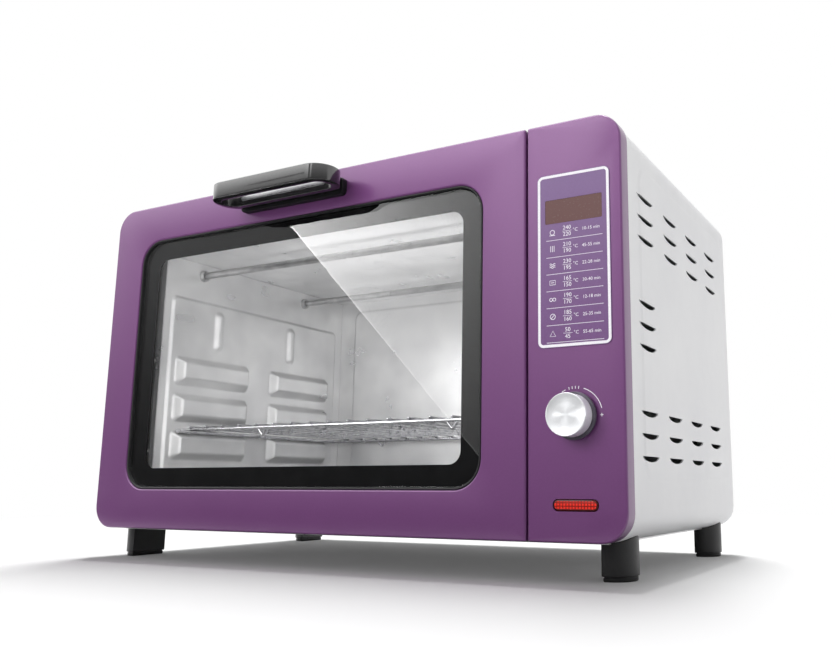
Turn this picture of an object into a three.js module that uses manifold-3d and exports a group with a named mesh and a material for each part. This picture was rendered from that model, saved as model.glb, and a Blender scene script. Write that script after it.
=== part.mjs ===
// Counter-top electric oven with a drop-down glass door, a pull-out wire rack and one encoder knob.
// Millimetres. +X is the user's right, +Y runs from the door to the rear, +Z is up.
// The oven stands on z = 0. Its face (the door's front) is worked out at y = 0, and the whole
// model is moved at the end, so that the origin is the middle of its footprint.

import * as THREE from 'three';
import Module from 'manifold-3d';
import { ConvexGeometry } from 'three/addons/geometries/ConvexGeometry.js';
import { mergeVertices } from 'three/addons/utils/BufferGeometryUtils.js';

const wasm = await Module();
wasm.setup();

// Overall sizes
const FACE_WIDTH = 500;
const FACE_HEIGHT = 288.6;
const FACE_RADIUS = 19;
const FACE_DEPTH = 13;
const BODY_DEPTH = 269.8;
const BODY_INSET = 1;
const BODY_GAP = 1.8;
const FOOT_HEIGHT = 25.6;
const PANEL_WIDTH = 70.5;
const SEAM_GAP = 1.4;

// Sheet thicknesses and clearances
const FACE_SHEET = 1;
const WRAP_SHEET = 0.8;
const INNER_SHEET = 0.7;
const SEAT = 0.25;
const OVERRUN = 5;
const HOLE_CLEARANCE = 0.35;

// Door, window and glass
const WINDOW_SIDE_MARGIN = 35;
const WINDOW_END_MARGIN = 33.2;
const WINDOW_RADIUS = 22;
const WINDOW_RETURN = 5;
const DOOR_SEAM_RADIUS = 1.5;
const SEAL_WIDTH = 1.6;
const SEAL_FRONT = 0.6;
const GLASS_RECESS = 2.4;
const GLASS_THICKNESS = 3.2;
const BORDER_SIDE = 19;
const BORDER_END = 17.8;
const BORDER_RADIUS = 10;
const BORDER_THICKNESS = 1;
const LINER_MARGIN = 12;
const LINER_SIDE_LAP = 9.5;
const LINER_END_LAP = 9;
const LINER_RADIUS = 14;

// Door hinge
const HINGE_RISE = 3.6;
const HINGE_SETBACK = 3.6;
const HINGE_INSET = 34;
const HINGE_PIN_RADIUS = 1.6;
const HINGE_PIN_FIT = 0.08;
const HINGE_PLATE = 2;
const HINGE_SPRING_LENGTH = 6;
const HINGE_SPRING_WALL = 1;
const HINGE_EAR_HEIGHT = 24;
const HINGE_EAR_RADIUS = 2.8;
const HINGE_PIN_OVERHANG = 1;
const HINGE_NOTCH_MARGIN = 1.2;
const HINGE_BRACKET_RISE = 14;

// Door handle
const HANDLE_LENGTH = 121.5;
const HANDLE_REACH = 39.4;
const HANDLE_HEIGHT = 12.8;
const HANDLE_DROP = 9.5;
const HANDLE_BASE_DEPTH = 5.7;
const HANDLE_BAR = 8.4;
const HANDLE_END_BAR = 6.5;
const HANDLE_BASE_INSET = 6.5;
const HANDLE_BASE_HEIGHT = 14.5;
const HANDLE_BASE_DROP = 2.2;
const HANDLE_BASE_RADIUS = 4;
const STRIP_INSET = 16.75;
const STRIP_HEIGHT = 7.4;
const STRIP_RISE = 3.9;
const STRIP_THICKNESS = 0.8;
const HANDLE_SCREW_INSET = 15.75;
const HANDLE_SCREW_HEAD = 3.6;
const HANDLE_SCREW_HEAD_HEIGHT = 2.2;

// Cavity
const CAVITY_SIDE_INSET = 51.5;
const CAVITY_TOP_DROP = 42.6;
const CAVITY_FLOOR_RISE = 36;
const CAVITY_BACK_GAP = 18.1;
const CAVITY_FLANGE = 9;
const EMBOSS_HEIGHT = 2;
const EMBOSS_FRONT_GAP = 7.25;
const EMBOSS_REAR_GAP = 11.5;
const EMBOSS_TOP_DROP = 36;
const EMBOSS_FLOOR_RISE = 8;
const EMBOSS_RADIUS = 6;
const BACK_EMBOSS_SIDE = 19.5;
const BACK_EMBOSS_END = 10.4;
const BACK_EMBOSS_RADIUS = 10;

// Rack guides and stiffening beads pressed into the cavity's side walls
const GUIDE_START_SHARES = [0.056, 0.5354];
const GUIDE_LENGTH_SHARE = 0.359;
const GUIDE_HEIGHT_SHARE = 0.1248;
const GUIDE_REACH = 10;
const GUIDE_SLOPE = 6;
const GUIDE_ROWS = 3;
const GUIDE_PITCH_SHARE = 0.1629;
const GUIDE_FIRST_SHARE = 0.1095;
const BEAD_PLACE_SHARES = [0.2514, 0.6503];
const BEAD_WIDTH = 14.5;
const BEAD_HEIGHT_SHARE = 0.2;
const BEAD_BOTTOM_SHARE = 0.6;
const BEAD_REACH = 3.5;

// Wire rack
const RACK_RAIL_RADIUS = 1.8;
const RACK_WIRE_RADIUS = 1.2;
const RACK_SIDE_CLEARANCE = 5.5;
const RACK_FRONT_GAP = 16.25;
const RACK_REAR_GAP = 13.5;
const RACK_WIRES = 15;
const RACK_DIP_DROP = 6.2;
const RACK_DIP_WIDTH = 12;
const RACK_FRONT_DIP_SHARES = [0.337, 0.935];
const RACK_REAR_DIP_SHARES = [0.213];
const RACK_GUIDE_ROW = 0;
const RACK_LAP = 0.4;

// Heating tubes
const HEATER_RADIUS = 3.25;
const HEATER_PLACE_SHARES = [0.1685, 0.7348];
const HEATER_TOP_DROP = 11.5;
const HEATER_FLOOR_RISE = 11;
const HEATER_BEAD_RADIUS = 5.5;
const HEATER_BEAD_LENGTH = 9;
const HEATER_PIN_RADIUS = 1.6;
const HEATER_PIN_LENGTH = 8;
const HEATER_CLIP_WIDTH = 16;
const HEATER_CLIP_SHEET = 1;

// Control panel
const OVERLAY_LEFT = 8.2;
const OVERLAY_WIDTH = 54.1;
const OVERLAY_TOP_DROP = 38.4;
const OVERLAY_HEIGHT_SHARE = 0.4248;
const OVERLAY_RADIUS = 4.5;
const OVERLAY_THICKNESS = 0.5;
const LENS_LEFT = 14.2;
const LENS_WIDTH = 42.4;
const LENS_TOP_DROP = 57;
const LENS_HEIGHT = 17.2;
const LENS_THICKNESS = 2.4;
const LENS_CORNER = 0.6;
const MODULE_MARGIN = 2;
const MODULE_DEPTH = 5.2;
const BOARD_THICKNESS = 1.6;
const BOARD_MARGIN = 5;
const BOARD_BOTTOM = 55;
const BOARD_TOP_DROP = 30;
const BOSS_RADIUS = 2.5;
const BOSS_INSET = 5;
const LUG_WIDTH = 9;
const INDICATOR_X = 34.7;
const INDICATOR_LENGTH = 32;
const INDICATOR_HEIGHT = 7.4;
const INDICATOR_RISE = 23.9;
const INDICATOR_DEPTH = 4;
const INDICATOR_PROUD = 0.5;
const LAMP_RADIUS = 3;
const LAMP_LENGTH = 5;

// Encoder and knob
const KNOB_X = 35.5;
const KNOB_RISE_SHARE = 0.2817;
const KNOB_RADIUS = 14.1;
const KNOB_REACH = 17;
const KNOB_TRAVEL = 1.5;
const KNOB_EDGE = 0.8;
const SKIRT_RADIUS = 15.8;
const SKIRT_THICKNESS = 2.2;
const SHAFT_RADIUS = 3;
const SHAFT_FIT = 0.15;
const SHAFT_NOSE_COVER = 4;
const ENCODER_SIZE = 13;
const ENCODER_DEPTH = 6.2;
const ENCODER_FLOOR = 1;
const ENCODER_BORE_RADIUS = 4.3;
const PLUNGER_THICKNESS = 1.1;
const PLUNGER_FIT = 0.3;

// Side louvres and the shallow raised field around them
const LOUVRE_LENGTH = 33.8;
const LOUVRE_HEIGHT = 2.8;
const LOUVRE_FRONT_GAP = 35;
const LOUVRE_REAR_GAP = 24.6;
const LOUVRE_ROW_PITCH = 15.3;
const LOUVRE_ROWS = 3;
const LOUVRE_COLUMNS = 4;
const LOUVRE_LOW_RISE = 86.5;
const LOUVRE_MIDDLE_SHARE = 0.5645;
const LOUVRE_TOP_DROP = 48.3;
const LOUVRE_ARC_STEPS = 3;
const FIELD_FRONT_GAP = 22.7;
const FIELD_REAR_GAP = 6.6;
const FIELD_BOTTOM = 41;
const FIELD_TOP_DROP = 26.6;
const FIELD_RADIUS = 16;
const FIELD_HEIGHT = 0.7;

// Body plates
const PAN_DROP = 1.5;
const PAN_SIDE_INSET = 20;
const PAN_FRONT_SETBACK = 3;
const PAN_LIP = 10;
const WRAP_TOE = 30;
const REAR_SETBACK = 2.4;
const REAR_SLOT_LENGTH = 44;
const REAR_SLOT_HEIGHT = 4.2;
const REAR_SLOT_PITCH = 12;
const REAR_SLOT_ROWS = 5;
const REAR_SLOT_SHARES = [-0.26, -0.044, 0.172];
const REAR_SLOT_DROP = 123;
const BAY_WINDOW_WIDTH = 46;
const BAY_WINDOW_RISE = 40;
const BAY_WINDOW_DROP = 45;
const SHIELD_FLANGE = 12;

// Electrics in the bay behind the control panel
const POWER_BOARD_FRONT_GAP = 45;
const POWER_BOARD_LENGTH = 130;
const POWER_BOARD_RISE = 70;
const POWER_BOARD_HEIGHT = 95;
const POWER_BOARD_STANDOFF = 4;
const RELAY_SIZE = 19;
const RELAY_HEIGHT = 16;
const RELAY_PLACES = [22, 52, 82];
const RELAY_RISE = 18;
const TRANSFORMER_SIZE = 34;
const TRANSFORMER_DEPTH = 30;
const TRANSFORMER_CORE = 12;
const TRANSFORMER_RISE_SHARE = 0.645;
const TERMINAL_WIDTH = 28;
const TERMINAL_DEPTH = 12;
const TERMINAL_HEIGHT = 18;
const TERMINAL_RISE = 46;
const GLAND_RADIUS = 8;
const GLAND_NECK = 5.5;
const GLAND_BORE = 3.6;
const GLAND_REACH = 6;
const GLAND_LENGTH = 18;
const GLAND_RISE = 76;
const GLAND_INSET = 38;
const CUTOUT_RADIUS = 8;
const CUTOUT_THICKNESS = 6;
const CUTOUT_PIN = 3;
const CUTOUT_BACK_GAP = 34.5;
const CUTOUT_RISE_SHARE = 0.59;
const PROBE_RADIUS = 2;
const PROBE_LENGTH = 34;
const PROBE_HEAD_RADIUS = 4.5;
const PROBE_HEAD_LENGTH = 8;
const PROBE_BACK_GAP = 30.5;
const PROBE_TOP_DROP = 10;
const HARNESS_RADIUS = 3;
const HARNESS_RISE = 62;
const HARNESS_BEND = 24;
const HARNESS_SLACK = 4.5;

// Feet
const FOOT_RADIUS = 17;
const FOOT_SIDE_INSET = 24.6;
const FOOT_FLAT = 2.4;
const FOOT_FRONT_GAP = 23;
const FOOT_REAR_GAP = 26.8;
const SOLE_HEIGHT = 3;
const SOLE_LIP = 0.9;
const FOOT_HEAD = 12;

// Counts of segments on round forms
const CORNER_STEPS = 6;
const ROUND_STEPS = 16;
const KNOB_STEPS = 32;
const WIRE_STEPS = 6;

// Planes and edges that follow from the sizes above
const baseZ = FOOT_HEIGHT;
const faceLeft = -FACE_WIDTH / 2;
const faceRight = FACE_WIDTH / 2;
const faceTop = baseZ + FACE_HEIGHT;
const panelLeft = faceRight - PANEL_WIDTH;
const doorRight = panelLeft - SEAM_GAP;
const doorMiddle = (faceLeft + doorRight) / 2;
const bodyFront = FACE_DEPTH + BODY_GAP;
const bodyRear = bodyFront + BODY_DEPTH;
const bodyLeft = faceLeft + BODY_INSET;
const bodyRight = faceRight - BODY_INSET;
const bodyTop = faceTop - BODY_INSET;
const bodyRadius = FACE_RADIUS - BODY_INSET;
const frameBack = bodyFront + INNER_SHEET;
const cavityFront = frameBack + SEAT;
const cavityLeft = faceLeft + CAVITY_SIDE_INSET;
const cavityRight = 2 * doorMiddle - cavityLeft;
const cavityTop = faceTop - CAVITY_TOP_DROP;
const cavityFloor = baseZ + CAVITY_FLOOR_RISE;
const rearPlate = bodyRear - REAR_SETBACK;
const cavityBack = bodyRear - CAVITY_BACK_GAP;
const cavityDepth = cavityBack - cavityFront;
const cavityHeight = cavityTop - cavityFloor;
const atDepth = (share) => cavityFront + cavityDepth * share;
const atRise = (share) => cavityFloor + cavityHeight * share;
const knobX = panelLeft + KNOB_X;
const knobZ = baseZ + FACE_HEIGHT * KNOB_RISE_SHARE;
const handleTop = faceTop - HANDLE_DROP;
const handleBottom = handleTop - HANDLE_HEIGHT;
const hingeY = FACE_DEPTH - HINGE_SETBACK;
const hingeZ = baseZ + HINGE_RISE;
const gableX = (panelLeft + cavityRight) / 2;

// Solids

function solid(geometry) {
  const bare = geometry.index ? geometry.toNonIndexed() : geometry.clone();
  bare.deleteAttribute('normal');
  bare.deleteAttribute('uv');
  const merged = mergeVertices(bare);
  return new wasm.Manifold(new wasm.Mesh({
    numProp: 3,
    vertProperties: new Float32Array(merged.attributes.position.array),
    triVerts: new Uint32Array(merged.index.array),
  }));
}

function geometryOf(manifold) {
  const mesh = manifold.getMesh();
  const indexed = new THREE.BufferGeometry();
  indexed.setAttribute('position', new THREE.BufferAttribute(new Float32Array(mesh.vertProperties), 3));
  indexed.setIndex(new THREE.BufferAttribute(new Uint32Array(mesh.triVerts), 1));
  const geometry = indexed.toNonIndexed();
  geometry.computeVertexNormals();
  return geometry;
}

const join = (first, ...rest) => rest.reduce((sum, piece) => sum.add(piece), first);
const cut = (first, ...rest) => rest.reduce((left, piece) => left.subtract(piece), first);

function box([x0, x1], [y0, y1], [z0, z1]) {
  const geometry = new THREE.BoxGeometry(x1 - x0, y1 - y0, z1 - z0);
  return solid(geometry.translate((x0 + x1) / 2, (y0 + y1) / 2, (z0 + z1) / 2));
}

// A round bar between two points.
function bar(from, to, radius, steps = ROUND_STEPS, tip = radius) {
  const start = new THREE.Vector3(...from);
  const end = new THREE.Vector3(...to);
  const span = end.clone().sub(start);
  const geometry = new THREE.CylinderGeometry(tip, radius, span.length(), steps);
  const turn = new THREE.Quaternion().setFromUnitVectors(new THREE.Vector3(0, 1, 0), span.clone().normalize());
  geometry.applyQuaternion(turn);
  const middle = start.add(end).multiplyScalar(1 / 2);
  return solid(geometry.translate(middle.x, middle.y, middle.z));
}

// A rectangle in the shape's own plane, with its own radius at each corner.
function panelShape([x0, x1], [z0, z1], radii) {
  const [topLeft, topRight, bottomRight, bottomLeft] = typeof radii === 'number' ? Array(4).fill(radii) : radii;
  const quarter = Math.PI / 2;
  const shape = new THREE.Shape();
  shape.moveTo(x0 + bottomLeft, z0);
  shape.lineTo(x1 - bottomRight, z0);
  if (bottomRight > 0) shape.absarc(x1 - bottomRight, z0 + bottomRight, bottomRight, -quarter, 0);
  shape.lineTo(x1, z1 - topRight);
  if (topRight > 0) shape.absarc(x1 - topRight, z1 - topRight, topRight, 0, quarter);
  shape.lineTo(x0 + topLeft, z1);
  if (topLeft > 0) shape.absarc(x0 + topLeft, z1 - topLeft, topLeft, quarter, 2 * quarter);
  shape.lineTo(x0, z0 + bottomLeft);
  if (bottomLeft > 0) shape.absarc(x0 + bottomLeft, z0 + bottomLeft, bottomLeft, 2 * quarter, 3 * quarter);
  shape.closePath();
  return shape;
}

function extruded(shape, depth) {
  return new THREE.ExtrudeGeometry(shape, { depth, bevelEnabled: false, curveSegments: CORNER_STEPS });
}

// A plate that faces the user: its shape lies in X and Z, and it is as thick as y0 to y1.
function frontPlate(shape, [y0, y1]) {
  return solid(extruded(shape, y1 - y0).rotateX(Math.PI / 2).translate(0, y1, 0));
}

// A plate that faces sideways: its shape lies in Y and Z, and it is as thick as x0 to x1.
function sidePlate(shape, [x0, x1]) {
  const turn = new THREE.Matrix4().makeBasis(
    new THREE.Vector3(0, 1, 0), new THREE.Vector3(0, 0, 1), new THREE.Vector3(1, 0, 0));
  return solid(extruded(shape, x1 - x0).applyMatrix4(turn).translate(x0, 0, 0));
}

// A lying plate: its shape lies in X and Y.
function floorPlate(shape, [z0, z1]) {
  return solid(extruded(shape, z1 - z0).translate(0, 0, z0));
}

const inset = ([low, high], by) => [low + by, high - by];
const insetRadii = (radii, by) => radii.map((radius) => Math.max(radius - by, 0));

const group = new THREE.Group();

function add(name, colour, roughness, metalness, manifold, extras = {}) {
  const material = new THREE.MeshStandardMaterial({ color: colour, roughness, metalness, ...extras });
  const mesh = new THREE.Mesh(geometryOf(manifold), material);
  mesh.name = name;
  group.add(mesh);
}

const PURPLE = 0x8c6190;
const WHITE = 0xd9d9db;
const BLACK = 0x17171a;
const STEEL = 0xb9bcbf;
const BOARD_GREEN = 0x2f5a3c;
const CERAMIC = 0xe4dfd2;

// Outer wrap: one folded sheet over the top and both sides, with the louvres and the raised field

function louvre(y, z, side) {
  const half = LOUVRE_LENGTH / 2;
  const shape = new THREE.Shape();
  shape.moveTo(-half, 0);
  for (let step = 1; step < 2 * LOUVRE_ARC_STEPS; step += 1) {
    const angle = Math.PI * step / (2 * LOUVRE_ARC_STEPS);
    shape.lineTo(-half * Math.cos(angle), -LOUVRE_HEIGHT * Math.sin(angle));
  }
  shape.lineTo(half, 0);
  shape.closePath();
  const x = side < 0 ? bodyLeft : bodyRight;
  const slot = sidePlate(shape, [x - OVERRUN, x + OVERRUN]);
  return slot.translate([0, y + half, z]);
}

function wrap() {
  const outer = panelShape([bodyLeft, bodyRight], [baseZ, bodyTop], bodyRadius);
  const inner = panelShape(
    inset([bodyLeft, bodyRight], WRAP_SHEET), inset([baseZ, bodyTop], WRAP_SHEET), bodyRadius - WRAP_SHEET);
  let shell = cut(
    frontPlate(outer, [bodyFront, bodyRear]),
    frontPlate(inner, [bodyFront - OVERRUN, bodyRear + OVERRUN]),
    box(inset([bodyLeft, bodyRight], bodyRadius + WRAP_TOE), [bodyFront - OVERRUN, bodyRear + OVERRUN],
      [baseZ - OVERRUN, baseZ + OVERRUN]));
  const field = panelShape(
    [bodyFront + FIELD_FRONT_GAP, bodyRear - FIELD_REAR_GAP], [baseZ + FIELD_BOTTOM, faceTop - FIELD_TOP_DROP],
    FIELD_RADIUS);
  shell = join(shell,
    sidePlate(field, [bodyLeft - FIELD_HEIGHT, bodyLeft + WRAP_SHEET / 2]),
    sidePlate(field, [bodyRight - WRAP_SHEET / 2, bodyRight + FIELD_HEIGHT]));
  const blocks = [
    { top: baseZ + LOUVRE_LOW_RISE, columns: LOUVRE_COLUMNS },
    { top: baseZ + FACE_HEIGHT * LOUVRE_MIDDLE_SHARE, columns: 1 },
    { top: faceTop - LOUVRE_TOP_DROP, columns: LOUVRE_COLUMNS },
  ];
  const run = BODY_DEPTH - LOUVRE_FRONT_GAP - LOUVRE_REAR_GAP - LOUVRE_LENGTH;
  const pitch = run / (LOUVRE_COLUMNS - 1);
  for (const side of [-1, 1]) {
    for (const block of blocks) {
      for (let row = 0; row < LOUVRE_ROWS; row += 1) {
        for (let column = 0; column < block.columns; column += 1) {
          const y = bodyFront + LOUVRE_FRONT_GAP + column * pitch;
          shell = shell.subtract(louvre(y, block.top - row * LOUVRE_ROW_PITCH, side));
        }
      }
    }
  }
  return shell;
}

add('outer_wrap', WHITE, 0.45, 0.1, wrap());

// Bottom pan under the wrap's toes, with a short upturned lip in front and behind
const panFront = bodyFront + PAN_FRONT_SETBACK;
const panHalf = FACE_WIDTH / 2 - PAN_SIDE_INSET;
const panTop = baseZ - SEAT;
const panBottom = baseZ - PAN_DROP;
const panInner = bodyRight - bodyRadius - WRAP_TOE - SEAT;
add('bottom_pan', STEEL, 0.4, 0.8, join(
  box([-panHalf, panHalf], [panFront, rearPlate - SEAT], [panBottom, panTop]),
  box([-panInner, panInner], [panFront, panFront + INNER_SHEET], [panBottom, baseZ + PAN_LIP]),
  box([-panInner, panInner], [rearPlate - SEAT - INNER_SHEET, rearPlate - SEAT], [panBottom, baseZ + PAN_LIP])));

// Rear cover inside the wrap's rear edge, with air slots and the cord's gland hole
const linerOutline = (by) => panelShape(
  inset([bodyLeft, bodyRight], WRAP_SHEET + by), inset([baseZ, bodyTop], WRAP_SHEET + by),
  bodyRadius - WRAP_SHEET - by);
const glandX = bodyRight - GLAND_INSET;
const glandZ = baseZ + GLAND_RISE;

function rearCover() {
  let cover = join(
    frontPlate(linerOutline(SEAT), [rearPlate, rearPlate + INNER_SHEET]),
    cut(frontPlate(linerOutline(SEAT), [rearPlate, bodyRear - SEAT]),
      frontPlate(linerOutline(SEAT + INNER_SHEET), [rearPlate - OVERRUN, bodyRear + OVERRUN])));
  for (const share of REAR_SLOT_SHARES) {
    const x = FACE_WIDTH * share;
    for (let row = 0; row < REAR_SLOT_ROWS; row += 1) {
      const z = faceTop - REAR_SLOT_DROP + row * REAR_SLOT_PITCH;
      cover = cover.subtract(box(
        [x, x + REAR_SLOT_LENGTH], [rearPlate - OVERRUN, rearPlate + OVERRUN], [z, z + REAR_SLOT_HEIGHT]));
    }
  }
  return cover.subtract(bar(
    [glandX, rearPlate - OVERRUN, glandZ], [glandX, rearPlate + OVERRUN, glandZ], GLAND_NECK + HOLE_CLEARANCE));
}

add('rear_cover', WHITE, 0.5, 0.2, rearCover());

// Front frame: the plate that the door closes against
const bayMiddle = (panelLeft + faceRight) / 2;
const frameOutline = linerOutline(SEAT);
const mouth = panelShape([cavityLeft, cavityRight], [cavityFloor, cavityTop], 0);
const bayWindow = panelShape(
  [bayMiddle - BAY_WINDOW_WIDTH / 2, bayMiddle + BAY_WINDOW_WIDTH / 2],
  [baseZ + BAY_WINDOW_RISE, faceTop - BAY_WINDOW_DROP], 0);
const frameCut = [bodyFront - OVERRUN, frameBack + OVERRUN];
add('front_frame', STEEL, 0.35, 0.9, cut(
  frontPlate(frameOutline, [bodyFront, frameBack]), frontPlate(mouth, frameCut), frontPlate(bayWindow, frameCut)));

// Cavity walls, pressed with rack guides and beads

const heaterLevels = { upper: cavityTop - HEATER_TOP_DROP, lower: cavityFloor + HEATER_FLOOR_RISE };
const heaterPlaces = { front: atDepth(HEATER_PLACE_SHARES[0]), rear: atDepth(HEATER_PLACE_SHARES[1]) };
const guideLength = cavityDepth * GUIDE_LENGTH_SHARE;
const guideHeight = cavityHeight * GUIDE_HEIGHT_SHARE;
const guideBottom = (row) => atRise(GUIDE_FIRST_SHARE + row * GUIDE_PITCH_SHARE);

// A pressed block with sloping sides: its foot lies on the wall, and its top is smaller by the slope.
function guide(wallX, inward, y, z) {
  const points = [];
  for (const [x, by] of [[wallX, 0], [wallX + inward * GUIDE_REACH, GUIDE_SLOPE]]) {
    for (const place of inset([y, y + guideLength], by)) {
      for (const level of inset([z, z + guideHeight], by)) {
        points.push(new THREE.Vector3(x, place, level));
      }
    }
  }
  return solid(new ConvexGeometry(points));
}

function sideWall(wallX, inward) {
  const span = (from, to) => [Math.min(wallX + inward * from, wallX + inward * to),
    Math.max(wallX + inward * from, wallX + inward * to)];
  let wall = sidePlate(
    panelShape([cavityFront, cavityBack - SEAT], [cavityFloor, cavityTop], 0), span(-INNER_SHEET, 0));
  wall = wall.add(sidePlate(
    panelShape([cavityFront + EMBOSS_FRONT_GAP, cavityBack - EMBOSS_REAR_GAP],
      [cavityFloor + EMBOSS_FLOOR_RISE, cavityTop - EMBOSS_TOP_DROP], EMBOSS_RADIUS),
    span(-INNER_SHEET / 2, EMBOSS_HEIGHT)));
  for (const share of GUIDE_START_SHARES) {
    for (let row = 0; row < GUIDE_ROWS; row += 1) {
      wall = wall.add(guide(wallX, inward, atDepth(share), guideBottom(row)));
    }
  }
  for (const share of BEAD_PLACE_SHARES) {
    const y = atDepth(share);
    const bead = panelShape(
      [y - BEAD_WIDTH / 2, y + BEAD_WIDTH / 2],
      [atRise(BEAD_BOTTOM_SHARE), atRise(BEAD_BOTTOM_SHARE + BEAD_HEIGHT_SHARE)], BEAD_WIDTH / 2 - SEAT);
    wall = wall.add(sidePlate(bead, span(0, EMBOSS_HEIGHT + BEAD_REACH)));
  }
  for (const level of Object.values(heaterLevels)) {
    for (const y of Object.values(heaterPlaces)) {
      wall = wall.subtract(bar(
        [wallX - OVERRUN, y, level], [wallX + OVERRUN, y, level], HEATER_RADIUS + HOLE_CLEARANCE));
    }
  }
  return wall;
}

add('cavity_left_wall', STEEL, 0.3, 1, sideWall(cavityLeft, 1));
const probeY = cavityBack - PROBE_BACK_GAP;
const probeZ = cavityTop - PROBE_TOP_DROP;
add('cavity_right_wall', STEEL, 0.3, 1, cut(
  sideWall(cavityRight, -1),
  bar([cavityRight - OVERRUN, probeY, probeZ], [cavityRight + OVERRUN, probeY, probeZ],
    PROBE_RADIUS + HOLE_CLEARANCE)));

// The ceiling and floor lie on the walls' edges, with flanges turned away from the cavity.
function lyingSheet(z, away) {
  const low = (from, to) => [Math.min(z + away * from, z + away * to), Math.max(z + away * from, z + away * to)];
  const across = [cavityLeft - INNER_SHEET, cavityRight + INNER_SHEET];
  const sheetSpan = low(SEAT, SEAT + INNER_SHEET);
  const flangeSpan = low(SEAT, SEAT + CAVITY_FLANGE);
  return join(
    box(across, [cavityFront, cavityBack - SEAT], sheetSpan),
    box(across, [cavityFront, cavityFront + INNER_SHEET], flangeSpan),
    box(across, [cavityBack - SEAT - INNER_SHEET, cavityBack - SEAT], flangeSpan));
}

add('cavity_ceiling', STEEL, 0.3, 1, lyingSheet(cavityTop, 1));
add('cavity_floor', STEEL, 0.3, 1, lyingSheet(cavityFloor, -1));

const backAcross = [cavityLeft - INNER_SHEET - CAVITY_FLANGE, cavityRight + INNER_SHEET + CAVITY_FLANGE];
const backUp = [cavityFloor - INNER_SHEET - CAVITY_FLANGE, cavityTop + INNER_SHEET + CAVITY_FLANGE];
add('cavity_back_wall', STEEL, 0.3, 1, join(
  frontPlate(panelShape(backAcross, backUp, 0), [cavityBack, cavityBack + INNER_SHEET]),
  frontPlate(panelShape(
    inset([cavityLeft, cavityRight], BACK_EMBOSS_SIDE), inset([cavityFloor, cavityTop], BACK_EMBOSS_END),
    BACK_EMBOSS_RADIUS), [cavityBack - EMBOSS_HEIGHT, cavityBack + INNER_SHEET / 2])));

// Heating tubes: each runs through both side walls and ends in a ceramic bead and a terminal pin.
function heater(y, z) {
  const beadInner = INNER_SHEET + SEAT;
  const beadOuter = beadInner + HEATER_BEAD_LENGTH;
  const pinOuter = beadOuter + HEATER_PIN_LENGTH;
  const along = (by) => [[cavityLeft - by, y, z], [cavityRight + by, y, z]];
  const [tubeLeft, tubeRight] = along(beadInner + HEATER_BEAD_LENGTH / 2);
  const [innerLeft, innerRight] = along(beadInner);
  const [outerLeft, outerRight] = along(beadOuter);
  const [pinLeft, pinRight] = along(pinOuter);
  return join(
    bar(tubeLeft, tubeRight, HEATER_RADIUS),
    bar(innerLeft, outerLeft, HEATER_BEAD_RADIUS),
    bar(innerRight, outerRight, HEATER_BEAD_RADIUS),
    bar(outerLeft, pinLeft, HEATER_PIN_RADIUS, WIRE_STEPS),
    bar(outerRight, pinRight, HEATER_PIN_RADIUS, WIRE_STEPS));
}

for (const [level, z] of Object.entries(heaterLevels)) {
  for (const [place, y] of Object.entries(heaterPlaces)) {
    add(`${level}_heater_${place}`, 0x9a9c9e, 0.4, 0.8, heater(y, z));
  }
}

// Heater brackets: a plate on two feet outside each side wall carries the beads of its four tube ends
function heaterBracket(wallX, outward) {
  const reach = (from, to) => {
    const ends = [wallX + outward * from, wallX + outward * to];
    return [Math.min(...ends), Math.max(...ends)];
  };
  const near = INNER_SHEET + SEAT;
  const plate = near + HEATER_BEAD_LENGTH / 2;
  const half = HEATER_CLIP_WIDTH / 2;
  const across = [heaterPlaces.front, heaterPlaces.rear];
  const up = [heaterLevels.lower, heaterLevels.upper];
  const plateX = reach(plate, plate + HEATER_CLIP_SHEET);
  const middle = (heaterPlaces.front + heaterPlaces.rear) / 2;
  let bracket = box(plateX, inset(across, -half), inset(up, -half));
  for (const z of up) {
    bracket = bracket.add(box(
      reach(near, plate + HEATER_CLIP_SHEET), [middle - half, middle + half], [z - half, z + half]));
    for (const y of across) {
      bracket = bracket.subtract(bar(
        [plateX[0] - OVERRUN, y, z], [plateX[1] + OVERRUN, y, z], HEATER_BEAD_RADIUS + SEAT));
    }
  }
  return bracket;
}

add('heater_bracket_left', STEEL, 0.45, 0.8, heaterBracket(cavityLeft, -1));
add('heater_bracket_right', STEEL, 0.45, 0.8, heaterBracket(cavityRight, 1));

// Wire rack: a bent frame of thicker rail under a row of thin wires, resting on the guides
const guideTop = guideBottom(RACK_GUIDE_ROW) + guideHeight;
const guideFall = GUIDE_SLOPE / GUIDE_REACH;
const rackZ = guideTop - guideFall * RACK_SIDE_CLEARANCE + RACK_RAIL_RADIUS * Math.hypot(1, guideFall) + SEAT;
const rackLeft = cavityLeft + RACK_SIDE_CLEARANCE;
const rackRight = cavityRight - RACK_SIDE_CLEARANCE;

const rackFront = cavityFront + RACK_FRONT_GAP;
const rackRear = cavityBack - RACK_REAR_GAP;

// A wire bent to a V under a cross rail, which keeps a dish from sliding off.
function dip(x, y) {
  const half = RACK_DIP_WIDTH / 2;
  const low = rackZ - RACK_DIP_DROP;
  const tip = solid(new THREE.IcosahedronGeometry(RACK_WIRE_RADIUS, 1).translate(x, y, low));
  return join(tip,
    bar([x - half, y, rackZ], [x, y, low], RACK_WIRE_RADIUS, WIRE_STEPS),
    bar([x, y, low], [x + half, y, rackZ], RACK_WIRE_RADIUS, WIRE_STEPS));
}

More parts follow.
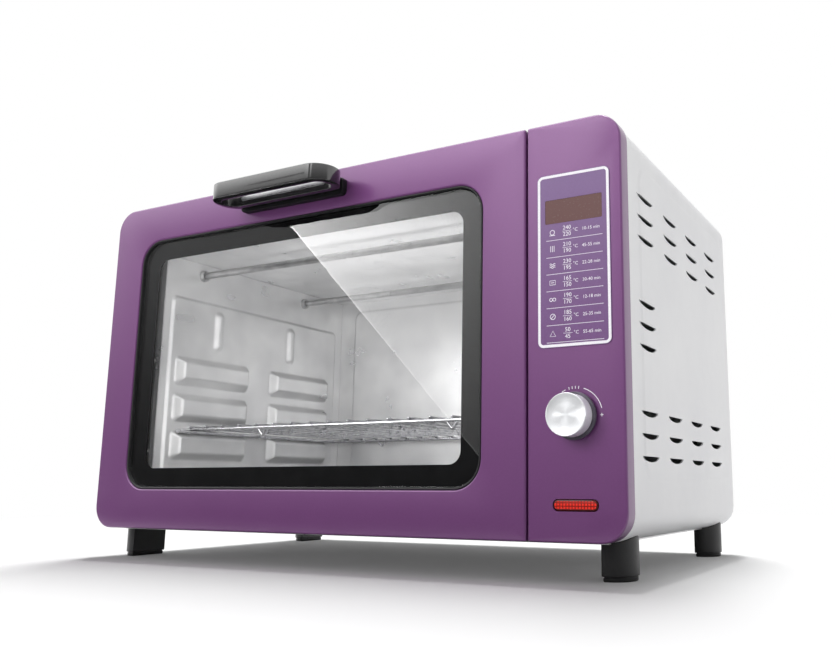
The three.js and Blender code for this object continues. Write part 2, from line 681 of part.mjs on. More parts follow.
function wireRack() {
  const wireZ = rackZ + RACK_RAIL_RADIUS + RACK_WIRE_RADIUS - RACK_LAP;
  const width = rackRight - rackLeft;
  const rail = (from, to) => bar([...from, rackZ], [...to, rackZ], RACK_RAIL_RADIUS, WIRE_STEPS);
  const elbow = (x, y) => solid(new THREE.IcosahedronGeometry(RACK_RAIL_RADIUS, 1).translate(x, y, rackZ));
  const corners = [[rackLeft, rackFront], [rackRight, rackFront], [rackRight, rackRear], [rackLeft, rackRear]];
  let rack = join(
    ...corners.map((corner, index) => rail(corner, corners[(index + 1) % corners.length])),
    ...corners.map(([x, y]) => elbow(x, y)),
    ...RACK_FRONT_DIP_SHARES.map((share) => dip(rackLeft + width * share, rackFront)),
    ...RACK_REAR_DIP_SHARES.map((share) => dip(rackLeft + width * share, rackRear)));
  for (let wire = 1; wire <= RACK_WIRES; wire += 1) {
    const x = rackLeft + width * wire / (RACK_WIRES + 1);
    rack = rack.add(bar(
      [x, rackFront - RACK_RAIL_RADIUS, wireZ], [x, rackRear + RACK_RAIL_RADIUS, wireZ],
      RACK_WIRE_RADIUS, WIRE_STEPS));
  }
  return rack;
}

add('wire_rack', 0xc9cbce, 0.2, 1, wireRack());

// Door: pressed outer frame, seal, glass, gasket and inner liner

const doorRadii = [FACE_RADIUS, DOOR_SEAM_RADIUS, DOOR_SEAM_RADIUS, FACE_RADIUS];
const doorAcross = [faceLeft, doorRight];
const doorUp = [baseZ, faceTop];
const windowAcross = inset(doorAcross, WINDOW_SIDE_MARGIN);
const windowUp = inset(doorUp, WINDOW_END_MARGIN);
const windowShape = (by) => panelShape(inset(windowAcross, by), inset(windowUp, by), WINDOW_RADIUS - by);
const doorShape = (by) => panelShape(inset(doorAcross, by), inset(doorUp, by), insetRadii(doorRadii, by));
const hingeSpan = 2 * HINGE_PLATE + HINGE_SPRING_LENGTH + 3 * SEAT;
const hingeStarts = { left: faceLeft + HINGE_INSET, right: doorRight - HINGE_INSET };

function doorOuter() {
  const deep = [FACE_SHEET, FACE_DEPTH + OVERRUN];
  const ring = cut(
    frontPlate(windowShape(-FACE_SHEET), [FACE_SHEET / 2, WINDOW_RETURN]),
    frontPlate(windowShape(0), [-OVERRUN, WINDOW_RETURN + OVERRUN]));
  let frame = cut(
    frontPlate(doorShape(0), [0, FACE_DEPTH]),
    frontPlate(doorShape(FACE_SHEET), deep),
    frontPlate(windowShape(0), [-OVERRUN, FACE_DEPTH]));
  frame = frame.add(ring);
  for (const [side, start] of Object.entries(hingeStarts)) {
    const outward = side === 'left' ? 1 : -1;
    const margin = HINGE_NOTCH_MARGIN;
    const ends = [start - outward * margin, start + outward * (hingeSpan + margin)];
    frame = frame.subtract(box(
      [Math.min(...ends), Math.max(...ends)], [hingeY - HINGE_RISE - margin, FACE_DEPTH + OVERRUN],
      [baseZ - OVERRUN, baseZ + FACE_SHEET + SEAT]));
  }
  return frame;
}

add('door_outer_frame', PURPLE, 0.35, 0.35, doorOuter());

const sealOuter = SEAT;
const sealInner = sealOuter + SEAL_WIDTH;
const glassBack = GLASS_RECESS + GLASS_THICKNESS;
add('window_seal', BLACK, 0.7, 0, cut(
  frontPlate(windowShape(sealOuter), [SEAL_FRONT, glassBack]),
  frontPlate(windowShape(sealInner), [SEAL_FRONT - OVERRUN, glassBack + OVERRUN])));
add('window_glass', 0xcfd6da, 0.05, 0, frontPlate(
  windowShape(sealInner + SEAT), [GLASS_RECESS, glassBack]), { transparent: true, opacity: 0.3 });

const clearAcross = inset(windowAcross, BORDER_SIDE);
const clearUp = inset(windowUp, BORDER_END);
const borderBack = glassBack + SEAT + BORDER_THICKNESS;
add('window_gasket', 0x202022, 0.6, 0, cut(
  frontPlate(windowShape(sealOuter), [glassBack + SEAT, borderBack]),
  frontPlate(panelShape(clearAcross, clearUp, BORDER_RADIUS), [glassBack - OVERRUN, borderBack + OVERRUN])));

// Inner liner: a steel back plate with a collar that presses the gasket to the glass
const linerFront = borderBack + SEAT;
const linerBack = FACE_DEPTH - SEAT;
const linerHole = (by) => panelShape(
  inset(clearAcross, by - LINER_SIDE_LAP), inset(clearUp, by - LINER_END_LAP), LINER_RADIUS - by);
add('door_inner_liner', STEEL, 0.35, 0.9, cut(
  join(
    frontPlate(panelShape(
      inset(doorAcross, LINER_MARGIN), inset(doorUp, LINER_MARGIN), FACE_RADIUS - FACE_SHEET),
    [linerBack - INNER_SHEET, linerBack]),
    frontPlate(linerHole(-INNER_SHEET), [linerFront, linerBack])),
  frontPlate(linerHole(0), [linerFront - OVERRUN, linerBack + OVERRUN])));

// Hinges: on each side an ear on the door and a bracket on the frame share a pin, with a spring between

function hingePlate(x, [y0, y1], [z0, z1], radius) {
  const plate = join(
    box([x, x + HINGE_PLATE], [y0, y1], [z0, z1]),
    bar([x, hingeY, hingeZ], [x + HINGE_PLATE, hingeY, hingeZ], radius));
  return plate;
}

for (const [side, start] of Object.entries(hingeStarts)) {
  const inward = side === 'left' ? 1 : -1;
  const place = (from, length) => {
    const ends = [start + inward * from, start + inward * (from + length)];
    return [Math.min(...ends), Math.max(...ends)];
  };
  const [earLow, earHigh] = place(0, HINGE_PLATE);
  const [springLow, springHigh] = place(HINGE_PLATE + SEAT, HINGE_SPRING_LENGTH);
  const [bracketLow] = place(HINGE_PLATE + HINGE_SPRING_LENGTH + 2 * SEAT, HINGE_PLATE);
  const [pinLow, pinHigh] = place(-HINGE_PIN_OVERHANG, hingeSpan + 2 * HINGE_PIN_OVERHANG);
  const axis = (from, to) => [[from, hingeY, hingeZ], [to, hingeY, hingeZ]];
  const bore = bar(...axis(pinLow - OVERRUN, pinHigh + OVERRUN), HINGE_PIN_RADIUS + HINGE_PIN_FIT);
  add(`door_hinge_ear_${side}`, STEEL, 0.4, 0.8, cut(
    hingePlate(earLow, [FACE_SHEET + SEAT, linerBack - INNER_SHEET - SEAT],
      [hingeZ, baseZ + HINGE_EAR_HEIGHT], Math.min(HINGE_EAR_RADIUS, HINGE_RISE - SEAT)), bore));
  add(`hinge_spring_${side}`, 0x8d9094, 0.35, 0.9, cut(
    bar(...axis(springLow, springHigh), HINGE_PIN_RADIUS + SEAT + HINGE_SPRING_WALL), bore));
  add(`hinge_pin_${side}`, 0x9fa2a6, 0.3, 0.9, bar(...axis(pinLow, pinHigh), HINGE_PIN_RADIUS));
  const bracketBack = bodyFront - SEAT;
  add(`hinge_bracket_${side}`, STEEL, 0.4, 0.8, cut(
    join(
      hingePlate(bracketLow, [hingeY, bracketBack], inset([hingeZ, hingeZ], -HINGE_EAR_RADIUS), HINGE_EAR_RADIUS),
      box([bracketLow, bracketLow + HINGE_PLATE], [bracketBack - INNER_SHEET, bracketBack],
        [hingeZ - HINGE_EAR_RADIUS, baseZ + HINGE_BRACKET_RISE])),
    bore));
}

// Handle: a closed bow on a base plate, with a bright strip let into the bow's inner face
const handleLeft = doorMiddle - HANDLE_LENGTH / 2;
const handleRight = doorMiddle + HANDLE_LENGTH / 2;
const bowFront = -HANDLE_REACH;
const bowBack = -HANDLE_BASE_DEPTH - SEAT;
const bowRadius = (bowBack - bowFront) / 2;
const slotFront = bowFront + HANDLE_BAR;
const slotBack = bowBack - HANDLE_BAR;
add('handle_bow', BLACK, 0.15, 0, cut(
  floorPlate(panelShape([handleLeft, handleRight], [bowFront, bowBack], bowRadius - SEAT), [handleBottom, handleTop]),
  floorPlate(panelShape(
    inset([handleLeft, handleRight], HANDLE_END_BAR), [slotFront, slotBack], (slotBack - slotFront) / 2 - SEAT),
  [handleBottom - OVERRUN, handleTop + OVERRUN])));
const baseBottom = handleBottom - HANDLE_BASE_DROP;
const baseAcross = inset([handleLeft, handleRight], HANDLE_BASE_INSET);
const screwPlaces = { left: handleLeft + HANDLE_SCREW_INSET, right: handleRight - HANDLE_SCREW_INSET };
const baseMiddle = baseBottom + HANDLE_BASE_HEIGHT / 2;
add('handle_base', BLACK, 0.2, 0, frontPlate(
  panelShape(baseAcross, [baseBottom, baseBottom + HANDLE_BASE_HEIGHT], HANDLE_BASE_RADIUS),
  [-HANDLE_BASE_DEPTH, -SEAT]));
add('handle_strip', 0xd6d8da, 0.2, 1, box(
  inset([handleLeft, handleRight], STRIP_INSET),
  [slotBack - SEAT - STRIP_THICKNESS, slotBack - SEAT],
  [handleBottom + STRIP_RISE, handleBottom + STRIP_RISE + STRIP_HEIGHT]));

// Screws that hold the handle from inside the door
for (const [side, x] of Object.entries(screwPlaces)) {
  const headBack = FACE_SHEET + SEAT + HANDLE_SCREW_HEAD_HEIGHT;
  add(`handle_screw_${side}`, 0x8b8e92, 0.35, 0.9, bar(
    [x, FACE_SHEET + SEAT, baseMiddle], [x, headBack, baseMiddle], HANDLE_SCREW_HEAD, WIRE_STEPS * 2));
}

// Control panel: fascia, overlay, display lens and indicator lens

const fasciaAcross = [panelLeft, faceRight];
const fasciaRadii = [DOOR_SEAM_RADIUS, FACE_RADIUS, FACE_RADIUS, DOOR_SEAM_RADIUS];
const fasciaShape = (by) => panelShape(inset(fasciaAcross, by), inset(doorUp, by), insetRadii(fasciaRadii, by));
const lensAcross = [panelLeft + LENS_LEFT, panelLeft + LENS_LEFT + LENS_WIDTH];
const lensUp = [faceTop - LENS_TOP_DROP - LENS_HEIGHT, faceTop - LENS_TOP_DROP];
const overlayAcross = [panelLeft + OVERLAY_LEFT, panelLeft + OVERLAY_LEFT + OVERLAY_WIDTH];
const overlayTop = faceTop - OVERLAY_TOP_DROP;
const overlayUp = [overlayTop - FACE_HEIGHT * OVERLAY_HEIGHT_SHARE, overlayTop];
const indicatorUp = [baseZ + INDICATOR_RISE - INDICATOR_HEIGHT / 2, baseZ + INDICATOR_RISE + INDICATOR_HEIGHT / 2];
const indicatorX = panelLeft + INDICATOR_X;
const indicatorAcross = [indicatorX - INDICATOR_LENGTH / 2, indicatorX + INDICATOR_LENGTH / 2];
const indicatorShape = (by) => panelShape(
  inset(indicatorAcross, by), inset(indicatorUp, by), INDICATOR_HEIGHT / 2 - by - SEAT / 2);
const boardFront = FACE_SHEET + SEAT + ENCODER_DEPTH + SEAT;
const boardAcross = inset(fasciaAcross, BOARD_MARGIN);
const boardUp = [baseZ + BOARD_BOTTOM, faceTop - BOARD_TOP_DROP];
const bossX = inset(boardAcross, BOSS_INSET);
const bossZ = inset(boardUp, BOSS_INSET);

function fascia() {
  const through = [-OVERRUN, FACE_SHEET + OVERRUN];
  let panel = cut(
    frontPlate(fasciaShape(0), [0, FACE_DEPTH]),
    frontPlate(fasciaShape(FACE_SHEET), [FACE_SHEET, FACE_DEPTH + OVERRUN]));
  for (const x of bossX) {
    for (const z of bossZ) {
      panel = panel.add(bar([x, FACE_SHEET / 2, z], [x, boardFront - SEAT, z], BOSS_RADIUS, WIRE_STEPS * 2));
    }
  }
  for (const z of [baseZ + FACE_RADIUS, faceTop - FACE_RADIUS]) {
    for (const x of inset(fasciaAcross, FACE_SHEET / 2 + LUG_WIDTH / 2)) {
      panel = panel.add(box(
        inset([x, x], -LUG_WIDTH / 2), [FACE_DEPTH - LUG_WIDTH, bodyFront - SEAT], inset([z, z], -LUG_WIDTH / 2)));
    }
  }
  return cut(panel,
    frontPlate(panelShape(inset(lensAcross, -SEAT), inset(lensUp, -SEAT), 0), through),
    bar([knobX, -OVERRUN, knobZ], [knobX, FACE_SHEET + SEAT, knobZ], SHAFT_RADIUS + KNOB_TRAVEL),
    frontPlate(indicatorShape(-SEAT), through));
}

add('control_fascia', PURPLE, 0.35, 0.35, fascia());
add('display_overlay', 0x8b739d, 0.3, 0, cut(
  frontPlate(panelShape(overlayAcross, overlayUp, OVERLAY_RADIUS), [-OVERLAY_THICKNESS - SEAT / 2, -SEAT / 2]),
  frontPlate(panelShape(inset(lensAcross, -SEAT), inset(lensUp, -SEAT), 0), [-OVERRUN, OVERRUN])));
add('display_lens', 0x7a5856, 0.1, 0, frontPlate(
  panelShape(lensAcross, lensUp, LENS_CORNER), [-OVERLAY_THICKNESS, LENS_THICKNESS - OVERLAY_THICKNESS]));
add('indicator_lens', 0xb01c1c, 0.15, 0, frontPlate(
  indicatorShape(0), [-INDICATOR_PROUD, INDICATOR_DEPTH - INDICATOR_PROUD]));
const lampBack = boardFront + BOARD_THICKNESS;
add('indicator_lamp', 0xe8a070, 0.3, 0, bar(
  [indicatorX, INDICATOR_DEPTH - INDICATOR_PROUD + SEAT, baseZ + INDICATOR_RISE],
  [indicatorX, INDICATOR_DEPTH - INDICATOR_PROUD + SEAT + LAMP_LENGTH, baseZ + INDICATOR_RISE], LAMP_RADIUS));

// Control board, display module and encoder
add('control_board', BOARD_GREEN, 0.6, 0, box(boardAcross, [boardFront, lampBack], boardUp));
add('display_module', 0x1b1b1d, 0.5, 0, box(
  inset(lensAcross, -MODULE_MARGIN), [boardFront - SEAT - MODULE_DEPTH, boardFront - SEAT],
  inset(lensUp, -MODULE_MARGIN)));

const encoderFront = boardFront - SEAT - ENCODER_DEPTH;
const boreFloor = boardFront - SEAT - ENCODER_FLOOR;
const plungerBack = boreFloor - KNOB_TRAVEL - SEAT;
const plungerFront = plungerBack - PLUNGER_THICKNESS;
const alongKnob = (from, to) => [[knobX, from, knobZ], [knobX, to, knobZ]];
add('encoder_body', 0x5c6166, 0.4, 0.7, cut(
  box(inset([knobX, knobX], -ENCODER_SIZE / 2), [encoderFront, boardFront - SEAT],
    inset([knobZ, knobZ], -ENCODER_SIZE / 2)),
  bar(...alongKnob(encoderFront - OVERRUN, boreFloor), ENCODER_BORE_RADIUS)));
add('encoder_plunger', 0xbfa25a, 0.3, 0.9, bar(
  ...alongKnob(plungerFront, plungerBack), ENCODER_BORE_RADIUS - PLUNGER_FIT));
const shaftFront = -KNOB_REACH + SHAFT_NOSE_COVER;
add('encoder_shaft', 0xaeb1b5, 0.3, 0.9, bar(
  ...alongKnob(shaftFront, plungerFront - SEAT), SHAFT_RADIUS));

// Knob: a turned aluminium cap and a dark skirt, both fixed on the shaft
const skirtBack = -KNOB_TRAVEL - SEAT - OVERLAY_THICKNESS;
const skirtFront = skirtBack - SKIRT_THICKNESS;

function turned(profile, steps) {
  const points = profile.map(([radius, height]) => new THREE.Vector2(radius, height));
  return solid(new THREE.LatheGeometry(points, steps).translate(knobX, 0, knobZ));
}

const capBack = skirtFront - SEAT;
add('knob_cap', 0xc4c6c9, 0.25, 1, cut(
  turned([
    [0, -KNOB_REACH], [KNOB_RADIUS - KNOB_EDGE, -KNOB_REACH], [KNOB_RADIUS, -KNOB_REACH + KNOB_EDGE],
    [KNOB_RADIUS, capBack], [0, capBack]], KNOB_STEPS),
  bar(...alongKnob(shaftFront - SEAT, capBack + OVERRUN), SHAFT_RADIUS + SHAFT_FIT)));
add('knob_skirt', 0x2a2a2d, 0.3, 0.3, cut(
  bar(...alongKnob(skirtFront, skirtBack), SKIRT_RADIUS, KNOB_STEPS),
  bar(...alongKnob(skirtFront - OVERRUN, skirtBack + OVERRUN), SHAFT_RADIUS + SHAFT_FIT)));

// Electrics in the bay: heat shield, power board, transformer, terminals, gland, sensors and harness
const shieldX = gableX;
const shieldBottom = baseZ + PAN_LIP + SHIELD_FLANGE;
add('heat_shield', STEEL, 0.4, 0.8, join(
  box([shieldX, shieldX + INNER_SHEET], [cavityFront, rearPlate - SEAT],
    [baseZ + PAN_LIP + SEAT, bodyTop - WRAP_SHEET - SEAT]),
  box([shieldX - SHIELD_FLANGE, shieldX], [cavityFront, cavityFront + INNER_SHEET],
    [shieldBottom, cavityTop])));
const shieldFace = shieldX + INNER_SHEET + SEAT;
const powerFace = shieldFace + POWER_BOARD_STANDOFF;
const powerZ = baseZ + POWER_BOARD_RISE;
const powerFront = bodyFront + POWER_BOARD_FRONT_GAP;
const powerAcross = [powerFront, powerFront + POWER_BOARD_LENGTH];

function powerBoard() {
  let board = box([powerFace, powerFace + BOARD_THICKNESS], powerAcross, [powerZ, powerZ + POWER_BOARD_HEIGHT]);
  for (const y of inset(powerAcross, BOSS_INSET)) {
    for (const z of inset([powerZ, powerZ + POWER_BOARD_HEIGHT], BOSS_INSET)) {
      board = board.add(bar([shieldFace, y, z], [powerFace + BOARD_THICKNESS / 2, y, z], BOSS_RADIUS, WIRE_STEPS));
    }
  }
  for (const place of RELAY_PLACES) {
    const y = powerFront + place;
    board = board.add(box(
      [powerFace + BOARD_THICKNESS / 2, powerFace + BOARD_THICKNESS + RELAY_HEIGHT], [y, y + RELAY_SIZE],
      [powerZ + RELAY_RISE, powerZ + RELAY_RISE + RELAY_SIZE]));
  }
  return board;
}

add('power_board', BOARD_GREEN, 0.6, 0, powerBoard());
const transformerZ = baseZ + FACE_HEIGHT * TRANSFORMER_RISE_SHARE;
const transformerX = [shieldFace, shieldFace + TRANSFORMER_DEPTH];
const transformerY = [powerFront, powerFront + TRANSFORMER_SIZE];
add('transformer', 0x6b5a3a, 0.6, 0.2, join(
  box(transformerX, transformerY, inset([transformerZ, transformerZ + TRANSFORMER_SIZE], TRANSFORMER_CORE / 2)),
  box(inset(transformerX, TRANSFORMER_CORE / 2), inset(transformerY, -TRANSFORMER_CORE / 2),
    [transformerZ, transformerZ + TRANSFORMER_SIZE])));

const terminalX = glandX - TERMINAL_WIDTH / 2;
add('terminal_block', CERAMIC, 0.5, 0, box(
  [terminalX, terminalX + TERMINAL_WIDTH], [rearPlate - SEAT - TERMINAL_DEPTH, rearPlate - SEAT],
  [baseZ + TERMINAL_RISE - TERMINAL_HEIGHT / 2, baseZ + TERMINAL_RISE + TERMINAL_HEIGHT / 2]));

// The cord's gland: a flanged bush through the rear cover
const glandBack = bodyRear + GLAND_REACH;
const flangeFront = rearPlate + INNER_SHEET + SEAT;
add('cord_gland', BLACK, 0.6, 0, cut(
  join(
    bar([glandX, flangeFront, glandZ], [glandX, glandBack, glandZ], GLAND_RADIUS),
    bar([glandX, glandBack - GLAND_LENGTH, glandZ], [glandX, glandBack - SEAT, glandZ], GLAND_NECK)),
  bar([glandX, glandBack - GLAND_LENGTH - OVERRUN, glandZ], [glandX, glandBack + OVERRUN, glandZ], GLAND_BORE)));

const probeWall = cavityRight + INNER_SHEET + SEAT;
add('temperature_probe', 0xaeb1b5, 0.3, 0.9, join(
  bar([cavityRight - PROBE_LENGTH, probeY, probeZ], [probeWall + PROBE_HEAD_LENGTH / 2, probeY, probeZ],
    PROBE_RADIUS),
  bar([probeWall, probeY, probeZ], [probeWall + PROBE_HEAD_LENGTH, probeY, probeZ], PROBE_HEAD_RADIUS)));
const cutoutY = cavityBack - CUTOUT_BACK_GAP;
const cutoutZ = atRise(CUTOUT_RISE_SHARE);
add('thermal_cutout', 0x3a3a3d, 0.5, 0.2, join(
  bar([probeWall, cutoutY, cutoutZ], [probeWall + CUTOUT_THICKNESS, cutoutY, cutoutZ], CUTOUT_RADIUS),
  box([probeWall + CUTOUT_THICKNESS / 2, probeWall + CUTOUT_THICKNESS + CUTOUT_PIN],
    [cutoutY - CUTOUT_PIN, cutoutY + CUTOUT_PIN], [cutoutZ - CUTOUT_PIN, cutoutZ + CUTOUT_PIN])));

// Harness: from the terminals, along the heat shield, through the frame's window to the control board
const harnessX = shieldFace + HARNESS_RADIUS + HARNESS_SLACK;
const harnessZ = baseZ + HARNESS_RISE;
const terminalFace = rearPlate - SEAT - TERMINAL_DEPTH - SEAT;
const harnessRoute = new THREE.CatmullRomCurve3([
  new THREE.Vector3(glandX, terminalFace, baseZ + TERMINAL_RISE),
  new THREE.Vector3(glandX, terminalFace - HARNESS_BEND / 2, baseZ + TERMINAL_RISE),
  new THREE.Vector3(harnessX, terminalFace - 2 * HARNESS_BEND, harnessZ),
  new THREE.Vector3(harnessX, (terminalFace + cavityFront) / 2, harnessZ),
  new THREE.Vector3(harnessX, cavityFront + 2 * HARNESS_BEND, harnessZ),
  new THREE.Vector3(bayMiddle, cavityFront + HARNESS_BEND / 2, harnessZ),
  new THREE.Vector3(bayMiddle, lampBack + SEAT, harnessZ),
], false, 'centripetal');
const harnessSection = new THREE.Shape().absarc(0, 0, HARNESS_RADIUS, 0, 2 * Math.PI);
add('wiring_harness', 0x2d2f33, 0.6, 0, solid(new THREE.ExtrudeGeometry(harnessSection, {
  steps: ROUND_STEPS, curveSegments: CORNER_STEPS, extrudePath: harnessRoute, bevelEnabled: false,
})));

// Feet: a round outer side, a flat inner side, a top that follows the wrap's corner, and a narrower sole

function footShape(side, by) {
  const radius = FOOT_RADIUS - by;
  const flat = FOOT_FLAT - by;
  const start = Math.acos(-flat / radius);
  const shape = new THREE.Shape();
  for (let step = 0; step <= ROUND_STEPS / 2; step += 1) {
    const angle = start * (4 * step / ROUND_STEPS - 1);
    const point = [side * radius * Math.cos(angle), radius * Math.sin(angle)];
    if (step === 0) shape.moveTo(...point);
    else shape.lineTo(...point);
  }
  shape.closePath();
  return shape;
}

const wrapEnvelope = frontPlate(panelShape(
  inset([bodyLeft, bodyRight], -SEAT), inset([baseZ, bodyTop], -SEAT), bodyRadius + SEAT), [0, bodyRear]);
const panEnvelope = box(
  [-panHalf - SEAT, panHalf + SEAT], [0, bodyRear], [panBottom - SEAT, baseZ + OVERRUN]);
for (const [sideName, side] of [['left', -1], ['right', 1]]) {
  for (const [endName, y] of [['front', bodyFront + FOOT_FRONT_GAP], ['rear', bodyRear - FOOT_REAR_GAP]]) {
    const x = side * (FACE_WIDTH / 2 - FOOT_SIDE_INSET);
    const body = floorPlate(footShape(side, 0), [SOLE_HEIGHT, baseZ + FOOT_HEAD]);
    const sole = floorPlate(footShape(side, SOLE_LIP), [0, baseZ / 2]);
    add(`foot_${endName}_${sideName}`, BLACK, 0.55, 0, cut(
      join(body, sole).translate([x, y, 0]), wrapEnvelope, panEnvelope));
  }
}

// The origin is the middle of the box that the handle, the gland and the sides make.
group.position.y = -(bowFront + glandBack) / 2;

export default group;
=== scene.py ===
import math

import bmesh
import bpy
from mathutils import Matrix, Vector

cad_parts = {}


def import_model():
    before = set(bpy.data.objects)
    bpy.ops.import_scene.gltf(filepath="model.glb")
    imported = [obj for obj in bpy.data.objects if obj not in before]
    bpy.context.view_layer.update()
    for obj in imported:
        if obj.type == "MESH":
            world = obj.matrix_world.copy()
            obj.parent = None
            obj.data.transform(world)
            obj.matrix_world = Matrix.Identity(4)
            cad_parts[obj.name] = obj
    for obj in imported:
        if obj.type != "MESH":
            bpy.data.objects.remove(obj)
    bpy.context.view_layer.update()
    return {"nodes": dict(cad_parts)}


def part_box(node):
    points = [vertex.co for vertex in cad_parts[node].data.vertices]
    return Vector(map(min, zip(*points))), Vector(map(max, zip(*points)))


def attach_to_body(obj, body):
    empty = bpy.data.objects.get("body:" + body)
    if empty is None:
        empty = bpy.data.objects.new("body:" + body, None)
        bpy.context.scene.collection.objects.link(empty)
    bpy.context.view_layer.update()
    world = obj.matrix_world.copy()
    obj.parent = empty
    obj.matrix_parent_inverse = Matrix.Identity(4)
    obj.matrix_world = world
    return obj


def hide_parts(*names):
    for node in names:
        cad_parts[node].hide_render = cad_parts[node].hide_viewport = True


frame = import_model()

# Places are in millimetres from the lower left corner of the oven's face:
# x to the right, y into the oven, z up.
MM = 0.001
ORIGIN = Vector(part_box("door_outer_frame")[0])
FULL_TURN = 2 * math.pi
QUARTER_TURN = 0.5 * math.pi
CORNER_STEPS = 10
# The smallest corner radius and grid step, and the radius of a tip.
SMALLEST = 0.05
POINT = 0.02


def place(x, y, z):
    return ORIGIN + Vector((x, y, z)) * MM


class Box:
    """The corners and extents of a CAD node, in millimetres of the face's frame."""

    def __init__(self, node):
        low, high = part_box(node)
        self.low = (Vector(low) - ORIGIN) / MM
        self.high = (Vector(high) - ORIGIN) / MM
        self.across = (self.low.x, self.high.x)
        self.up = (self.low.z, self.high.z)

    def loops(self, radii, rows, steps=CORNER_STEPS):
        """A loop along the node's rounded outline for each (distance inward, depth)."""
        return framed(self.across, self.up, radii, rows, steps)


# Shapes

# A bar's rounded end, in pairs of (distance past the end, share of the radius).
BAR_END = ((0, 1), (0.75, 0.7), (1, 0.25))
BAR_END_REACH = 0.6


def clamp(value, low=0.0, high=1.0):
    return max(low, min(high, value))


def soft_step(value):
    value = clamp(value)
    return value * value * (3 - 2 * value)


def run(start, end, steps):
    """Evenly spaced values from start to end."""
    return [start + (end - start) * step / steps for step in range(steps + 1)]


def on_circle(centre, radius, turn):
    return centre[0] + radius * math.cos(turn), centre[1] + radius * math.sin(turn)


def circle(centre, radius, sides):
    return [on_circle(centre, radius, turn) for turn in run(0, FULL_TURN, sides)[:-1]]


def rounded(across, up, radii, by=0.0, steps=8):
    """A rectangle with rounded corners, drawn in by a distance.
    The corners are lower left, lower right, upper right and upper left."""
    if not isinstance(radii, (tuple, list)):
        radii = (radii,) * 4
    left, right, low, high = across[0] + by, across[1] - by, up[0] + by, up[1] - by
    corners = ((left, low, 1, 1, math.pi), (right, low, -1, 1, 1.5 * math.pi),
               (right, high, -1, -1, 0), (left, high, 1, -1, QUARTER_TURN))
    points = []
    for (x, z, along, rise, start), radius in zip(corners, radii):
        radius = max(radius - by, SMALLEST)
        centre = (x + along * radius, z + rise * radius)
        points += [on_circle(centre, radius, start + turn) for turn in run(0, QUARTER_TURN, steps)]
    return points


def framed(across, up, radii, rows, steps=CORNER_STEPS):
    """A loop along a rounded outline for each (distance inward, depth)."""
    return [[(x, depth, z) for x, z in rounded(across, up, radii, by, steps)] for by, depth in rows]


def edge_rows(radius, at=0.0, steps=5):
    """(distance inward, depth) of a rounded outer edge, from the side wall to the front."""
    return [(radius - radius * math.cos(turn), at + radius - radius * math.sin(turn))
            for turn in run(0, QUARTER_TURN, steps)]


def front_rows(radius, box, steps=5):
    """The rows of a moulding with a rounded front edge, from its front to its back."""
    return list(reversed(edge_rows(radius, box.low.y, steps))) + [(0.0, box.high.y)]


class Form:
    """The points and faces of one piece, in millimetres of the face's frame."""

    def __init__(self):
        self.points = []
        self.faces = []
        self.marks = []

    def add(self, points, faces):
        base = len(self.points)
        self.points.extend(points)
        self.faces.extend(tuple(base + index for index in face) for face in faces)
        return self

    def skin(self, loops, ring=False):
        """Joins loops of equal length, one after another, into a closed skin."""
        count, rows = len(loops[0]), len(loops)
        faces = []
        for row in range(rows if ring else rows - 1):
            here, after = row * count, (row + 1) % rows * count
            for index in range(count):
                turn = (index + 1) % count
                faces.append((here + index, here + turn, after + turn, after + index))
        if not ring:
            faces.append(tuple(reversed(range(count))))
            faces.append(tuple(range((rows - 1) * count, rows * count)))
        return self.add([point for loop in loops for point in loop], faces)

    def tube(self, path, radius, sides, closed=False):
        """A round bar along a path that doesn't start upright, with rounded ends where it is open."""
        path = [Vector(point) for point in path]
        count = len(path)
        turns = run(0, FULL_TURN, sides)[:-1]
        loops = []
        normal = None
        for index, point in enumerate(path):
            before = path[index - 1] if closed or index else point
            after = path[(index + 1) % count] if closed or index < count - 1 else point
            along = (after - before).normalized()
            if normal is None:
                normal = along.cross(Vector((0, 0, 1))).normalized()
            else:
                normal = (normal - along * normal.dot(along)).normalized()
            other = along.cross(normal)
            sizes = BAR_END[:1]
            if not closed and index == 0:
                sizes = [(-shift, size) for shift, size in reversed(BAR_END)]
            elif not closed and index == count - 1:
                sizes = BAR_END
            for shift, size in sizes:
                middle = point + along * (shift * radius * BAR_END_REACH)
                loops.append([
                    tuple(middle + (normal * math.cos(turn) + other * math.sin(turn)) * radius * size)
                    for turn in turns])
        return self.skin(loops, ring=closed)

    def turned(self, centre, profile, sides, across=False):
        """A turned form of (radius, place along the axis), about an axis along y, or along x."""
        return self.skin([[(at, a, b) if across else (a, at, b) for a, b in circle(centre, radius, sides)]
                          for radius, at in profile])

    def plate(self, outline, front, back):
        """A plate of an outline (x, z), between two depths."""
        return self.skin([[(x, y, z) for x, z in outline] for y in (front, back)])

    def prism(self, outline, start, end):
        """A bar of an outline (y, z), between two places along x."""
        return self.skin([[(x, y, z) for y, z in outline] for x in (start, end)])

    def make(self, name, body=None, slot=None, replaced=(), finishes=None, smooth=32, outward=True):
        """The piece itself, in its slot's finish; without a body it is attached later."""
        mesh = bpy.data.meshes.new(name)
        mesh.from_pydata([tuple(place(*point)) for point in self.points], [], self.faces)
        for material in finishes or ([FINISHES[slot]] if slot else []):
            mesh.materials.append(material)
        if self.marks:
            mesh.polygons.foreach_set("material_index", self.marks)
        obj = linked(name, mesh)
        if outward:
            face_outward(mesh)
        finish_shading(obj, smooth)
        if body:
            attach(obj, body, replaced)
        return obj


def linked(name, data):
    obj = bpy.data.objects.new(name, data)
    bpy.context.scene.collection.objects.link(obj)
    return obj


def face_outward(mesh):
    work = bmesh.new()
    work.from_mesh(mesh)
    bmesh.ops.recalc_face_normals(work, faces=work.faces)
    work.to_mesh(mesh)
    work.free()


def finish_shading(obj, angle):
    obj.data.shade_smooth()
    obj.data.set_sharp_from_angle(angle=math.radians(angle))


